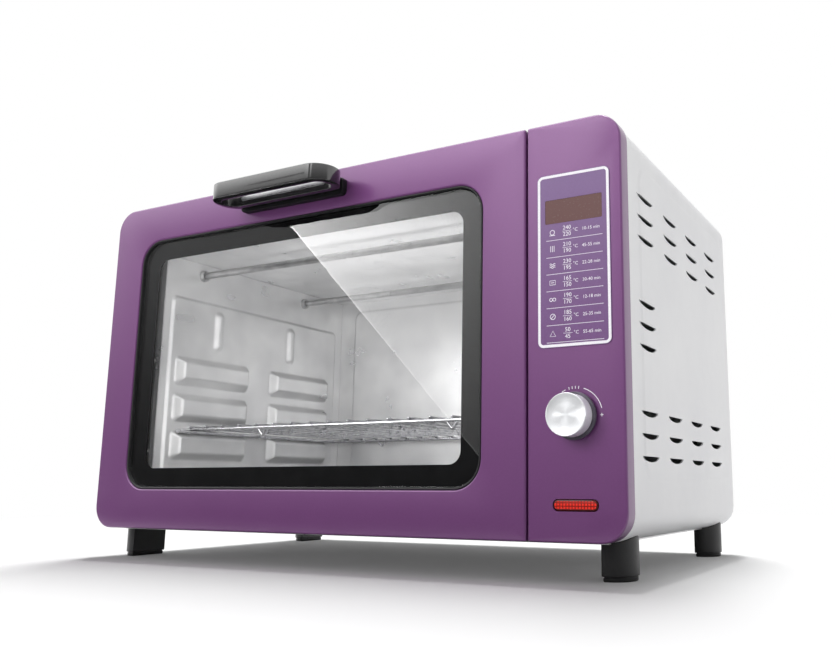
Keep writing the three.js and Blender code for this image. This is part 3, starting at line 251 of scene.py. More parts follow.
def shown_mesh(obj):
    """A new mesh of what the object shows, with its modifiers or its extrusion."""
    return bpy.data.meshes.new_from_object(obj.evaluated_get(bpy.context.evaluated_depsgraph_get()))


def attach(obj, body, replaced=()):
    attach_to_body(obj, body)
    if replaced:
        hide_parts(*replaced)


def carve(obj, cutter, angle=32):
    """Takes the cutter's form out of the piece."""
    tool = cutter.make("cutter")
    modifier = obj.modifiers.new("Carve", "BOOLEAN")
    modifier.operation = "DIFFERENCE"
    modifier.solver = "EXACT"
    modifier.object = tool
    whole, cut = obj.data, shown_mesh(obj)
    obj.modifiers.clear()
    obj.data = cut
    bpy.data.meshes.remove(whole)
    mesh = tool.data
    bpy.data.objects.remove(tool)
    bpy.data.meshes.remove(mesh)
    finish_shading(obj, angle)


def dense_lines(low, high, zones, fine, coarse):
    """Grid lines that are fine inside the zones and coarse between them."""
    zones = [(max(low, start), min(high, end)) for start, end in zones if end > low and start < high]
    merged = []
    for start, end in sorted(zones):
        if merged and start <= merged[-1][1] + coarse:
            merged[-1][1] = max(merged[-1][1], end)
        else:
            merged.append([start, end])
    runs = []
    at = low
    for start, end in merged:
        if start > at:
            runs.append((at, start, coarse))
        runs.append((start, end, fine))
        at = end
    if at < high:
        runs.append((at, high, coarse))
    found = []
    for start, end, step in runs:
        for value in run(start, end, max(1, round((end - start) / step))):
            if not found or value > found[-1] + SMALLEST:
                found.append(value)
    return found


def rims(low, high, inner, outer=1):
    """Two zones of fine grid lines, at the low and at the high rim of a form."""
    return [(low - outer, low + inner), (high - inner, high + outer)]


def sheet(first, second, point, thickness):
    """A sheet over a grid of two families of lines, with its other side set back by a thickness."""
    rows, columns = len(first), len(second)
    points = [point(a, b, side) for side in (0, thickness) for a in first for b in second]
    faces = []
    lower = rows * columns
    for row in range(rows - 1):
        for column in range(columns - 1):
            a = row * columns + column
            faces.append((a, a + 1, a + columns + 1, a + columns))
            faces.append((lower + a, lower + a + columns, lower + a + columns + 1, lower + a + 1))
    border = list(range(columns))
    border += [row * columns + columns - 1 for row in range(1, rows)]
    border += [(rows - 1) * columns + column for column in range(columns - 2, -1, -1)]
    border += [row * columns for row in range(rows - 2, 0, -1)]
    for index, a in enumerate(border):
        b = border[(index + 1) % len(border)]
        faces.append((a, lower + a, lower + b, b))
    return Form().add(points, faces)


def outline_depth(x, z, across, up, radius):
    """How far a point lies inside a rounded rectangle; negative outside."""
    qx = abs(x - (across[0] + across[1]) / 2) - (across[1] - across[0]) / 2 + radius
    qz = abs(z - (up[0] + up[1]) / 2) - (up[1] - up[0]) / 2 + radius
    outside = math.hypot(max(qx, 0), max(qz, 0))
    return radius - outside - min(max(qx, qz), 0)


# Materials


class Nodes:
    """The node tree of a material or of the world."""

    def __init__(self, owner, output="ShaderNodeOutputMaterial"):
        owner.use_nodes = True
        self.tree = owner.node_tree
        self.tree.nodes.clear()
        self.out = self.tree.nodes.new(output)

    def node(self, kind, inputs=None, **settings):
        node = self.tree.nodes.new(kind)
        for key, value in settings.items():
            setattr(node, key, value)
        for key, value in (inputs or {}).items():
            if isinstance(value, bpy.types.NodeSocket):
                self.tree.links.new(value, node.inputs[key])
            else:
                node.inputs[key].default_value = value
        return node

    def maths(self, operation, first, second=0.5):
        return self.node("ShaderNodeMath", {0: first, 1: second}, operation=operation).outputs[0]

    def most(self, path, *rays):
        """One where the ray is any of these kinds."""
        found = path.outputs[rays[0]]
        for ray in rays[1:]:
            found = self.maths("MAXIMUM", found, path.outputs[ray])
        return found

    def blend(self, share, first, second):
        return self.node("ShaderNodeMix", {0: share, 2: first, 3: second}, data_type="FLOAT").outputs[0]

    def ease(self, value, from_low, from_high, to_low=0.0, to_high=1.0):
        return self.node("ShaderNodeMapRange", {
            "Value": value, "From Min": from_low, "From Max": from_high, "To Min": to_low, "To Max": to_high,
        }, interpolation_type="SMOOTHSTEP").outputs[0]

    def show(self, surface):
        self.tree.links.new(surface.outputs[0], self.out.inputs[0])


class Finish(Nodes):
    """One procedural material of the oven."""

    def __init__(self, name, **sockets):
        self.material = bpy.data.materials.new(name)
        super().__init__(self.material)
        self.shader = self.node("ShaderNodeBsdfPrincipled", {
            key.replace("_", " "): value for key, value in sockets.items()})
        self.show(self.shader)
        self.coordinates = self.node("ShaderNodeTexCoord").outputs["Object"]

    def noise(self, scale, detail=4.0, stretch=None):
        """Noise over the object's own coordinates; scale is in cells per metre."""
        source = self.coordinates
        if stretch:
            source = self.node("ShaderNodeMapping", {"Vector": source, "Scale": stretch}).outputs[0]
        return self.node("ShaderNodeTexNoise", {
            "Vector": source, "Scale": scale, "Detail": detail, "Roughness": 0.55}).outputs["Fac"]

    def spread(self, source, low=0.0, high=1.0, start=0.3, end=0.7):
        return self.node("ShaderNodeMapRange", {
            "Value": source, "From Min": start, "From Max": end, "To Min": low, "To Max": high}).outputs[0]

    def height(self, low, high):
        """Nothing at one height over the oven's lower edge and one at another, in metres; the mask by which
        light and shade are painted by height.
        """
        level = self.node("ShaderNodeSeparateXYZ", {0: self.coordinates}).outputs[2]
        return self.spread(level, 0.0, 1.0, ORIGIN.z + low, ORIGIN.z + high)

    def mix(self, share, first, second):
        return self.node("ShaderNodeMix", {0: share, 6: first, 7: second}, data_type="RGBA").outputs[2]

    def surface(self, colour, roughness, height, distance):
        """Sets colour, roughness and a bump whose distance is in metres."""
        bump = self.node("ShaderNodeBump", {"Height": height, "Distance": distance, "Strength": 1.0})
        for name, source in (("Base Color", colour), ("Roughness", roughness), ("Normal", bump.outputs[0])):
            self.tree.links.new(source, self.shader.inputs[name])
        return self.material


def srgb(red, green, blue):
    """A colour given as it looks on a screen, 0 to 255."""
    def linear(value):
        value /= 255
        return value / 12.92 if value <= 0.04045 else ((value + 0.055) / 1.055) ** 2.4
    return linear(red), linear(green), linear(blue), 1.0


def times(colour, by):
    return tuple(clamp(channel * by) for channel in colour[:3]) + (1.0,)


def two_tone(name, first, second, rough, tones, bump, rough_noise=None, bump_noise=None, **sockets):
    """Two shades over one noise, with roughness and bump from the same noise or from their own.
    A noise is (cells per metre, detail, stretch)."""
    finish = Finish(name, **sockets)
    marks = finish.noise(*tones)
    rough_marks = finish.noise(*rough_noise) if rough_noise else marks
    bump_marks = finish.noise(*bump_noise) if bump_noise else marks
    return finish.surface(finish.mix(finish.spread(marks), first, second), finish.spread(rough_marks, *rough),
                          bump_marks, bump)


def mottled(name, first, second, rough, scale, bump, **sockets):
    """A mottled part of the works inside."""
    return two_tone(name, first, second, rough, (scale, 4), bump, rough_noise=(scale / 3,), **sockets)


def dark(name, base, rough, scale, bump, **sockets):
    """A black plastic or rubber with its grain."""
    return two_tone(name, times(base, 0.8), times(base, 1.35), rough, (scale / 12, 4), bump,
                    bump_noise=(scale, 3), **sockets)


def purple_paint():
    """Metallic violet lacquer with fine flakes, a faint orange peel and soft wear, painted lighter towards
    the top and darker towards the bottom as painted light and shade.
    """
    base = srgb(119, 71, 124)
    finish = Finish("purple_paint", Metallic=0.2, IOR=1.5, Coat_Weight=0.6, Coat_Roughness=0.16)
    # Painted light and shade: the colour runs lighter towards the top and darker towards the bottom, as the
    # light falls on the face.
    shade = finish.mix(finish.height(0.0, 0.29), times(base, 0.94), times(base, 1.04))
    shade = finish.mix(finish.spread(finish.noise(620, 1), 0.0, 0.1), shade, times(base, 1.35))
    shade = finish.mix(finish.spread(finish.noise(14, 3), 0.0, 0.06), shade, times(base, 0.7))
    rough = finish.spread(finish.noise(60, 2), 0.28, 0.32)
    return finish.surface(shade, rough, finish.noise(300, 1), 0.000004)


def bright_steel():
    """Coated sheet steel: a rolled grain, faint clouds and small scuffs."""
    finish = Finish("bright_steel", Metallic=0.86)
    clouds = finish.noise(22, 2)
    grain = finish.noise(110, 0, (1.0, 0.08, 1.0))
    scuffs = finish.noise(45, 1, (0.3, 1.0, 1.0))
    shade = finish.mix(finish.spread(clouds), srgb(205, 205, 206), srgb(226, 226, 226))
    shade = finish.mix(finish.spread(scuffs, 0.0, 0.08), shade, srgb(170, 170, 172))
    rough = finish.maths("ADD", finish.spread(clouds, 0.27, 0.34), finish.spread(grain, -0.01, 0.02))
    return finish.surface(shade, rough, finish.noise(30, 1), 0.0001)


def knob_aluminium(centre):
    """Spun aluminium: fine rings about the knob's axis."""
    finish = Finish("knob_aluminium", Metallic=0.7, Anisotropic=0.85, Anisotropic_Rotation=0.25)
    shift = finish.node("ShaderNodeVectorMath", {0: finish.coordinates, 1: -centre}, operation="ADD")
    flat = finish.node("ShaderNodeMapping", {"Vector": shift.outputs[0], "Scale": (1.0, 0.0, 1.0)}).outputs[0]
    distance = finish.node("ShaderNodeVectorMath", {0: flat}, operation="LENGTH").outputs["Value"]
    rings = finish.node("ShaderNodeTexNoise", {
        "W": finish.maths("MULTIPLY", distance, 4200.0), "Scale": 1.0, "Detail": 3.0,
    }, noise_dimensions="1D").outputs["Fac"]
    tangent = finish.node("ShaderNodeTangent", direction_type="RADIAL", axis="Y").outputs[0]
    finish.tree.links.new(tangent, finish.shader.inputs["Tangent"])
    return finish.surface(finish.mix(finish.spread(rings), srgb(246, 247, 248), srgb(228, 230, 233)),
                          finish.spread(rings, 0.3, 0.38), rings, 0.00001)


def clear_glass():
    """Toughened glass with faint smudges; light passes through it without a hard shadow."""
    finish = Finish("clear_glass", Transmission_Weight=1.0, IOR=1.25)
    smudges = finish.noise(12, 1)
    finish.surface(finish.mix(finish.spread(smudges), (1.0, 1.0, 1.0, 1.0), (0.975, 0.975, 0.975, 1.0)),
                   finish.spread(smudges, 0.0, 0.001, 0.45, 0.8), finish.noise(5, 1), 0.000004)
    clear = finish.node("ShaderNodeBsdfTransparent", {"Color": (0.95, 0.95, 0.95, 1.0)})
    pick = finish.most(finish.node("ShaderNodeLightPath"), "Is Shadow Ray", "Is Diffuse Ray")
    finish.show(finish.node("ShaderNodeMixShader", {
        0: pick, 1: finish.shader.outputs[0], 2: clear.outputs[0]}))
    return finish.material


def overlay_film():
    """Printed satin film, a cooler violet than the panel, painted lighter towards the top and darker towards
    the bottom as painted light and shade.
    """
    finish = Finish("overlay_film", IOR=1.42)
    # Painted light and shade: lighter towards the top, darker towards the bottom.
    shade = finish.mix(finish.height(0.12, 0.255), srgb(108, 72, 120), srgb(122, 98, 138))
    shade = finish.mix(finish.spread(finish.noise(900, 2), 0.0, 0.12), shade, times(srgb(124, 100, 142), 1.4))
    rough = finish.spread(finish.noise(120), 0.34, 0.42)
    return finish.surface(shade, rough, finish.noise(1400, 2), 0.000012)


def cells(finish, scale, distance, **inputs):
    return finish.node("ShaderNodeTexVoronoi", {"Vector": finish.coordinates, "Scale": scale, **inputs},
                       feature="F1", distance=distance).outputs["Distance"]


def red_lens(name, low, high):
    """Clear red plastic over a regular field of small prisms."""
    finish = Finish(name, IOR=1.4)
    near = finish.spread(cells(finish, 460.0, "CHEBYCHEV", Randomness=0.0), 1.0, 0.0, 0.2, 0.5)
    return finish.surface(finish.mix(near, low, high), finish.spread(near, 0.3, 0.2, 0.0, 1.0), near, 0.00003)


def circuit_board():
    """Green board with paler tracks under the mask."""
    finish = Finish("circuit_board", IOR=1.5, Coat_Weight=0.3, Coat_Roughness=0.2)
    tracks = finish.spread(cells(finish, 160.0, "MANHATTAN"), 0.0, 1.0, 0.42, 0.46)
    return finish.surface(finish.mix(tracks, srgb(20, 88, 52), srgb(62, 132, 72)),
                          finish.spread(finish.noise(90), 0.3, 0.5), tracks, 0.00003)


CAP = Box("knob_cap")
KNOB = (CAP.low + CAP.high) / 2
KNOB_CENTRE = (KNOB.x, KNOB.z)

FINISHES = {made.name.split(".")[0]: made for made in (
    purple_paint(),
    two_tone("white_paint", srgb(226, 226, 227), srgb(219, 219, 221), (0.38, 0.5), (9, 4), 0.00005,
             (80,), (650, 2), IOR=1.5, Coat_Weight=0.1, Coat_Roughness=0.35),
    bright_steel(),
    two_tone("wire_chrome", srgb(222, 222, 224), srgb(190, 190, 194), (0.12, 0.3), (150, 1), 0.00003,
             Metallic=1.0),
    two_tone("heater_steel", srgb(206, 206, 206), srgb(180, 180, 181), (0.28, 0.46), (90, 1), 0.00004, (70,),
             Metallic=1.0),
    clear_glass(),
    dark("black_rubber", (0.018, 0.018, 0.019), (0.45, 0.6), 900, 0.00003),
    dark("black_gloss", (0.012, 0.012, 0.0125), (0.1, 0.16), 1500, 0.000001, IOR=1.5, Specular_IOR_Level=0.9,
         Coat_Weight=1.0, Coat_Roughness=0.08),
    dark("black_plastic", (0.009, 0.009, 0.0095), (0.28, 0.4), 1100, 0.00008, Specular_IOR_Level=0.45),
    two_tone("bright_trim", srgb(236, 236, 238), srgb(206, 206, 210), (0.2, 0.34),
             (1200, 3, (0.04, 1.0, 1.0)), 0.00001, Metallic=1.0),
    knob_aluminium(place(KNOB.x, 0, KNOB.z)),
    overlay_film(),
    two_tone("display_lens", srgb(98, 67, 65), srgb(97, 66, 64), (0.24, 0.28), (700, 2), 0.0000005, IOR=1.4),
    red_lens("red_lens", srgb(96, 8, 10), srgb(244, 56, 42)),
    mottled("lamp_body", srgb(214, 210, 200), srgb(190, 184, 172), (0.3, 0.5), 300, 0.00003),
    circuit_board(),
    dark("dark_module", (0.03, 0.03, 0.032), (0.4, 0.55), 900, 0.00003),
    mottled("gold_brass", srgb(206, 170, 96), srgb(176, 138, 70), (0.25, 0.4), 400, 0.00002, Metallic=1.0),
    mottled("transformer_core", srgb(96, 92, 88), srgb(66, 62, 60), (0.4, 0.6), 500, 0.00008, Metallic=0.6),
    mottled("terminal_ceramic", srgb(232, 228, 216), srgb(212, 206, 192), (0.35, 0.55), 260, 0.00004),
    mottled("wire_cover", srgb(198, 60, 48), srgb(150, 34, 30), (0.4, 0.55), 500, 0.00003),
)}
PRINT = two_tone("print_white", srgb(246, 245, 248), srgb(232, 228, 236), (0.4, 0.55), (1800, 2), 0.000006,
                 IOR=1.45)
SKIRT_GREY = dark("knob_skirt_grey", srgb(86, 82, 92), (0.32, 0.42), 900, 0.00001, Metallic=0.5)
# Painted shade: the lens rim is coloured dark red-black for the shadow in the gap of its hole.
LENS_RIM_PAINTED_SHADE = red_lens("red_lens_rim", srgb(44, 8, 9), srgb(92, 16, 15))
BASE_BLACK = dark("handle_base_black", (0.01, 0.01, 0.011), (0.3, 0.4), 1500, 0.000002,
                  Specular_IOR_Level=0.2)
BORDER = dark("glass_border", (0.007, 0.007, 0.0075), (0.45, 0.55), 700, 0.0000005, Specular_IOR_Level=0.0)

# Door outer frame: a pressed sheet whose inner side follows its outer side

FACE = Box("door_outer_frame")
SEAL = Box("window_seal")
SEAT = 0.25
FACE_RADIUS = 19.0
SEAM_RADIUS = 1.5
WINDOW_RADIUS = 22.0
WINDOW_RETURN = 5.0
WINDOW_EDGE = 1.4
FACE_SHEET = 1.0
INNER_BEND = 0.6
EDGE = 1.6
INNER_EDGE = EDGE * 0.4
DOOR_OUTLINE = (FACE.across, FACE.up, (FACE_RADIUS, SEAM_RADIUS, SEAM_RADIUS, FACE_RADIUS))
WINDOW_OUTLINE = (*((low - SEAT, high + SEAT) for low, high in (SEAL.across, SEAL.up)), WINDOW_RADIUS)
HINGE_NOTCHES = ((32.8, 45.95), (382.15, 395.3))
HINGE_NOTCH_FRONT = 4.6
HINGE_NOTCH_TOP = FACE_SHEET + 0.25
NOTCH_PAST = 5


def door_frame():
    outer = [(0, FACE.high.y)] + edge_rows(EDGE)
    inner = [(FACE_SHEET + by, FACE_SHEET + depth) for by, depth in reversed(edge_rows(INNER_EDGE))]
    inner.append((FACE_SHEET, FACE.high.y))
    window = [(-by, depth) for by, depth in reversed(edge_rows(WINDOW_EDGE))]
    window += [(0, WINDOW_RETURN), (-FACE_SHEET, WINDOW_RETURN), (-FACE_SHEET, FACE_SHEET + INNER_BEND),
               (-FACE_SHEET - INNER_BEND, FACE_SHEET)]
    return Form().skin(framed(*DOOR_OUTLINE, outer) + framed(*WINDOW_OUTLINE, window)
                       + framed(*DOOR_OUTLINE, inner), ring=True)


def hinge_notches():
    form = Form()
    back = FACE.high.y + NOTCH_PAST
    for start, end in HINGE_NOTCHES:
        form.prism(((HINGE_NOTCH_FRONT, -NOTCH_PAST), (back, -NOTCH_PAST), (back, HINGE_NOTCH_TOP),
                    (HINGE_NOTCH_FRONT, HINGE_NOTCH_TOP)), start, end)
    return form


door_skin = door_frame().make("door_outer_frame_pressing", slot="purple_paint")
carve(door_skin, hinge_notches(), 30)
attach(door_skin, "door", ["door_outer_frame"])

# Window: seal, pane, printed border with its gasket, inner liner

GLASS = Box("window_glass")
GASKET = Box("window_gasket")
LINER = Box("door_inner_liner")
SEAL_RADIUS = WINDOW_RADIUS - SEAT
SEAL_WIDTH = GLASS.low.x - SEAL.low.x - SEAT
SEAL_LIP = ((0, 0.6), (0.3, 0.15), (0.8, 0.0), (1.3, 0.2), (SEAL_WIDTH, 0.9))
PANE_EDGE = 0.5
BORDER_EDGE = 0.2
CLEAR_ACROSS = (54.0, 374.1)
CLEAR_UP = (51.0, 237.6)
CLEAR_RADIUS = 10.0
LINER_SHEET = 0.7
LINER_RADIUS = 8.0
LINER_FOLD = 2.0
LINER_BEND = 0.6
LINER_HOLE = ((CLEAR_ACROSS[0] - 9.5, CLEAR_ACROSS[1] + 9.5), (CLEAR_UP[0] - 9.0, CLEAR_UP[1] + 9.0), 14.0)


def border():
    front, edge, back = GASKET.low.y, GASKET.low.y + BORDER_EDGE, GASKET.high.y
    outer = [(0.0, back), (0.0, edge), (BORDER_EDGE, front)]
    inner = [(-BORDER_EDGE, front), (0.0, edge), (0.0, back)]
    return Form().skin(GASKET.loops(SEAL_RADIUS, outer) + framed(CLEAR_ACROSS, CLEAR_UP, CLEAR_RADIUS, inner),
                       ring=True)


def liner():
    back, front, thick = LINER.high.y, LINER.low.y, LINER_SHEET
    fold, bend = back - LINER_FOLD, back - LINER_BEND
    outer = [(0.0, front), (0.0, fold), (LINER_BEND, bend), (LINER_FOLD, back)]
    hole = [(-LINER_FOLD, back), (-LINER_BEND, bend), (0.0, fold), (0.0, front), (-thick, front),
            (-thick, fold), (-LINER_FOLD, back - thick)]
    inner = [(LINER_FOLD, back - thick), (thick, fold), (thick, front)]
    return Form().skin(LINER.loops(LINER_RADIUS, outer) + framed(*LINER_HOLE, hole)
                       + LINER.loops(LINER_RADIUS, inner), ring=True)


Form().skin(SEAL.loops(SEAL_RADIUS, [
    (0, SEAL.high.y), *((by, SEAL.low.y + depth) for by, depth in SEAL_LIP), (SEAL_WIDTH, SEAL.high.y),
]), ring=True).make("window_seal_strip", "door", "black_rubber", ["window_seal"])
window_pane = Form().skin(GLASS.loops(SEAL_RADIUS - SEAL_WIDTH - SEAT, [
    (PANE_EDGE, GLASS.low.y), (0.0, GLASS.low.y + PANE_EDGE), (0.0, GLASS.high.y - PANE_EDGE),
    (PANE_EDGE, GLASS.high.y)])).make("window_pane", "door", "clear_glass", ["window_glass"])
border().make("window_border_gasket", "door", "black_rubber", ["window_gasket"], [BORDER])
liner().make("door_inner_liner_pressing", "door", "bright_steel", ["door_inner_liner"])

# Handle

BOW = Box("handle_bow")
BASE = Box("handle_base")
STRIP = Box("handle_strip")
BOW_BAR = 8.4
BOW_END = 6.5
BOW_EDGE = 0.6
BOW_STEPS = 14
BOW_FLAT = 0.4
BASE_RADIUS, BASE_EDGE = 4.0, 0.9
STRIP_RADIUS, STRIP_EDGE = 1.2, 0.3


def handle_bow():
    """A bar with round ends and a long slot; its section runs round outside and inside."""
    depth = (BOW.low.y, BOW.high.y)
    slot = (depth[0] + BOW_BAR, depth[1] - BOW_BAR)
    low, high = BOW.low.z, BOW.high.z
    rows = edge_rows(BOW_EDGE, 0, 4)
    outer = [(by, high - rise) for by, rise in reversed(rows)] + [(by, low + rise) for by, rise in rows]
    inner = [(-by, low + rise) for by, rise in reversed(rows)] + [(-by, high - rise) for by, rise in rows]
    loops = []
    for across, span, section in ((BOW.across, depth, outer),
                                  ((BOW.low.x + BOW_END, BOW.high.x - BOW_END), slot, inner)):
        radius = (span[1] - span[0]) / 2 - BOW_FLAT
        loops += [[(x, y, z) for x, y in rounded(across, span, radius, by, BOW_STEPS)] for by, z in section]
    return Form().skin(loops, ring=True)


handle_bow().make("handle_bow_moulding", "door", "black_gloss", ["handle_bow"])
Form().skin(BASE.loops(BASE_RADIUS, front_rows(BASE_EDGE, BASE), 6)).make(
    "handle_base_moulding", "door", "black_gloss", ["handle_base"], [BASE_BLACK])
Form().skin(STRIP.loops(STRIP_RADIUS, front_rows(STRIP_EDGE, STRIP, 3), 5)).make(
    "handle_trim_strip", "door", "bright_trim", ["handle_strip"])

# Control panel: fascia, film, screen and indicator lens

FASCIA = Box("control_fascia")
LENS = Box("indicator_lens")
FILM = Box("display_overlay")
SCREEN = Box("display_lens")
HOLE_DEPTHS = (-2.0, 2.4)
HOLE_GAP = 0.3
SPINDLE_HOLE = 4.2
LENS_HOLE_RADIUS = 3.4
# The screen's openings in the fascia and in the film, as (corner radius, distance inward).
SCREEN_HOLE = (0.65, -0.35)
FILM_HOLE = (0.92, 0.02)
FILM_HOLE_DEPTHS = (-2.0, 1.0)
FILM_RADIUS, FILM_EDGE = 4.5, 0.12
SCREEN_RADIUS, SCREEN_EDGE = 0.9, 0.2
LENS_CROWN = ((1.2, 0.0), (0.7, 0.12), (0.3, 0.5), (0.0, 1.1))


def fascia():
    rows = [(FACE_SHEET + INNER_BEND, FACE_SHEET), (FACE_SHEET, FACE_SHEET + INNER_BEND),
            (FACE_SHEET, FACE.high.y), (0.0, FACE.high.y)] + edge_rows(EDGE)
    return Form().skin(FASCIA.loops((SEAM_RADIUS, FACE_RADIUS, FACE_RADIUS, SEAM_RADIUS), rows))


def fascia_holes():
    form = Form()
    form.plate(rounded(LENS.across, LENS.up, LENS_HOLE_RADIUS, -HOLE_GAP), *HOLE_DEPTHS)
    form.turned(KNOB_CENTRE, [(SPINDLE_HOLE, depth) for depth in HOLE_DEPTHS], 24)
    form.plate(rounded(SCREEN.across, SCREEN.up, *SCREEN_HOLE, 4), *HOLE_DEPTHS)
    return form


def film_like(box, radius, edge, steps):
    """A thin plate with a slightly rounded front edge."""
    return Form().skin(box.loops(radius, [
        (edge, box.low.y), (0.0, box.low.y + edge), (0.0, box.high.y)], steps))


def indicator():
    """The lens, whose front face has one material and whose rim another, darker one that is painted shade for
    the gap of its hole.
    """
    radius = (LENS.high.z - LENS.low.z) / 2 - POINT
    rows = [(by, LENS.low.y + depth) for by, depth in LENS_CROWN] + [(0.0, LENS.high.y)]
    form = Form().skin(LENS.loops(radius, rows))
    form.marks = [0 if len(face) > 4 else 1 for face in form.faces]
    return form


panel = fascia().make("control_fascia_pressing", "housing", "purple_paint", ["control_fascia"])
carve(panel, fascia_holes())
overlay = film_like(FILM, FILM_RADIUS, FILM_EDGE, 8).make(
    "display_overlay_film", "housing", "overlay_film", ["display_overlay"])
carve(overlay, Form().plate(rounded(SCREEN.across, SCREEN.up, *FILM_HOLE, 4), *FILM_HOLE_DEPTHS))
film_like(SCREEN, SCREEN_RADIUS, SCREEN_EDGE, 4).make(
    "display_window", "housing", "display_lens", ["display_lens"])
indicator().make(
    "indicator_window", "housing", "red_lens", ["indicator_lens"], [FINISHES["red_lens"], LENS_RIM_PAINTED_SHADE])

# Prints on the control panel

PRINT_DEPTH = 0.05
FRAME_INSET = 0.5
FRAME_WIDTH = 1.9
ROW_EDGES = (202.5, 190.4, 178.5, 166.7, 154.9, 143.0, 131.2)
ROW_ACROSS = (444.6, 486.2)
FIRST_ROW_GAP = 0.6
RULE_WIDTH = 0.32
SYMBOL_X = 449.2
SIGN_SIZE, SIGN_WIDTH = 2.1, 0.42
BAR_SHIFT, WAVE_SHIFT, RING_SHIFT = 1.3, 1.2, 1.2
WAVE_HEIGHT, PAIR_RADIUS = 0.45, 1.1
NUMBER_X = 460.2
NUMBER_SIZE, NUMBER_RISE = 4.1, 2.3
BAR_REACH, BAR_WIDTH = 3.4, 0.25
UNIT_SHIFT, UNIT_SIZE = 6.2, 3.4
TIME_X, TIME_SIZE = 477.8, 3.2
ROW_NUMBERS = (("240", "220"), ("210", "190"), ("230", "195"), ("165", "150"), ("190", "170"), ("185", "160"),
               ("50", "45"))
ROW_TIMES = ("10-15 min", "45-55 min", "22-28 min", "30-40 min", "12-18 min", "25-35 min", "55-65 min")
ARC_RADIUS, ARC_WIDTH = 19.0, 0.55
ARCS = ((121, 112, 6), (72, 14, 20))
TICKS = (104, 97, 90, 83)
TICK_REACH, TICK_WIDTH = 0.9, 0.5
PLUS, PLUS_REACH, PLUS_LIFT = (483.4, 81.6), 1.1, 0.005


def strip(form, points, width, front, closed=False):
    """A flat printed line along points (x, z)."""
    count = len(points)
    back = front + PRINT_DEPTH
    loops = []
    for index, (x, z) in enumerate(points):
        before = points[index - 1] if closed or index else points[index]
        after = points[(index + 1) % count] if closed or index < count - 1 else points[index]
        dx, dz = after[0] - before[0], after[1] - before[1]
        length = math.hypot(dx, dz) or 1.0
        nx, nz = -dz / length * width / 2, dx / length * width / 2
        loops.append([(x + side * nx, y, z + side * nz)
                      for side, y in ((1, front), (-1, front), (-1, back), (1, back))])
    return form.skin(loops, ring=closed)


def arc(centre, radius, start, end, steps):
    """Points of an arc between two angles in degrees."""
    return [on_circle(centre, radius, math.radians(angle)) for angle in run(start, end, steps)]


def lettering(form, body, size, x, z, front):
    """Plain numbers and units as thin flat meshes, centred on a point."""
    curve = bpy.data.curves.new("numbers", "FONT")
    curve.body = body
    curve.size = size
    curve.resolution_u = 2
    curve.align_x = "CENTER"
    curve.align_y = "CENTER"
    curve.extrude = PRINT_DEPTH / 2
    obj = linked("numbers", curve)
    mesh = shown_mesh(obj)
    y = front + PRINT_DEPTH / 2
    form.add([(x + vertex.co.x, y - vertex.co.z, z + vertex.co.y) for vertex in mesh.vertices],
             [tuple(face.vertices) for face in mesh.polygons])
    bpy.data.objects.remove(obj)
    bpy.data.curves.remove(curve)
    bpy.data.meshes.remove(mesh)


def signs(x, z):
    """Seven plain signs, each as lines of (points, closed): a ring on a line, bars, waves,
    a box with a bar, two rings, a ring with a stroke, and a triangle."""
    size = SIGN_SIZE

    def ring(shift, radius, steps=20):
        return arc((x + shift, z), radius, 0, 360, steps)[:-1], True

    def line(*ends):
        return [(x + size * across, z + size * up) for across, up in ends], False

    def shape(*corners):
        return line(*corners)[0], True

    def wave(shift):
        return [(x - size + size * 2 * step / 12, z + shift + WAVE_HEIGHT * math.sin(FULL_TURN * step / 8))
                for step in range(13)], False

    return (
        (ring(0, size * 0.8), line((-1, -1), (1, -1))),
        [([(x + shift, z - size), (x + shift, z + size)], False) for shift in (-BAR_SHIFT, 0, BAR_SHIFT)],
        [wave(shift) for shift in (-WAVE_SHIFT, 0, WAVE_SHIFT)],
        (shape((-1, -0.7), (1, -0.7), (1, 0.7), (-1, 0.7)), line((-0.6, 0), (0.6, 0))),
        [ring(shift, PAIR_RADIUS, 16) for shift in (-RING_SHIFT, RING_SHIFT)],
        (ring(0, size * 0.9), line((-0.6, -0.6), (0.6, 0.6))),
        (shape((-1, -0.8), (1, -0.8), (0, 1)),),
    )


def overlay_print():
    """A frame round the film, and seven ruled rows of a sign, two numbers over each other and a time."""
    form = Form()
    front = FILM.low.y - PRINT_DEPTH
    frame_line = rounded(FILM.across, FILM.up, FILM_RADIUS, FRAME_INSET + FRAME_WIDTH / 2)
    strip(form, frame_line, FRAME_WIDTH, front, True)
    for z in ROW_EDGES:
        strip(form, [(x, z) for x in ROW_ACROSS], RULE_WIDTH, front)
    tops = (SCREEN.low.z - FIRST_ROW_GAP,) + ROW_EDGES[:-1]
    for row, (top, bottom) in enumerate(zip(tops, ROW_EDGES)):
        z = (top + bottom) / 2
        for points, closed in signs(SYMBOL_X, z)[row]:
            strip(form, points, SIGN_WIDTH, front, closed)
        lettering(form, ROW_NUMBERS[row][0], NUMBER_SIZE, NUMBER_X, z + NUMBER_RISE, front)
        lettering(form, ROW_NUMBERS[row][1], NUMBER_SIZE, NUMBER_X, z - NUMBER_RISE, front)
        strip(form, [(NUMBER_X - BAR_REACH, z), (NUMBER_X + BAR_REACH, z)], BAR_WIDTH, front)
        lettering(form, "°C", UNIT_SIZE, NUMBER_X + UNIT_SHIFT, z, front)
        lettering(form, ROW_TIMES[row], TIME_SIZE, TIME_X, z, front)
    return form


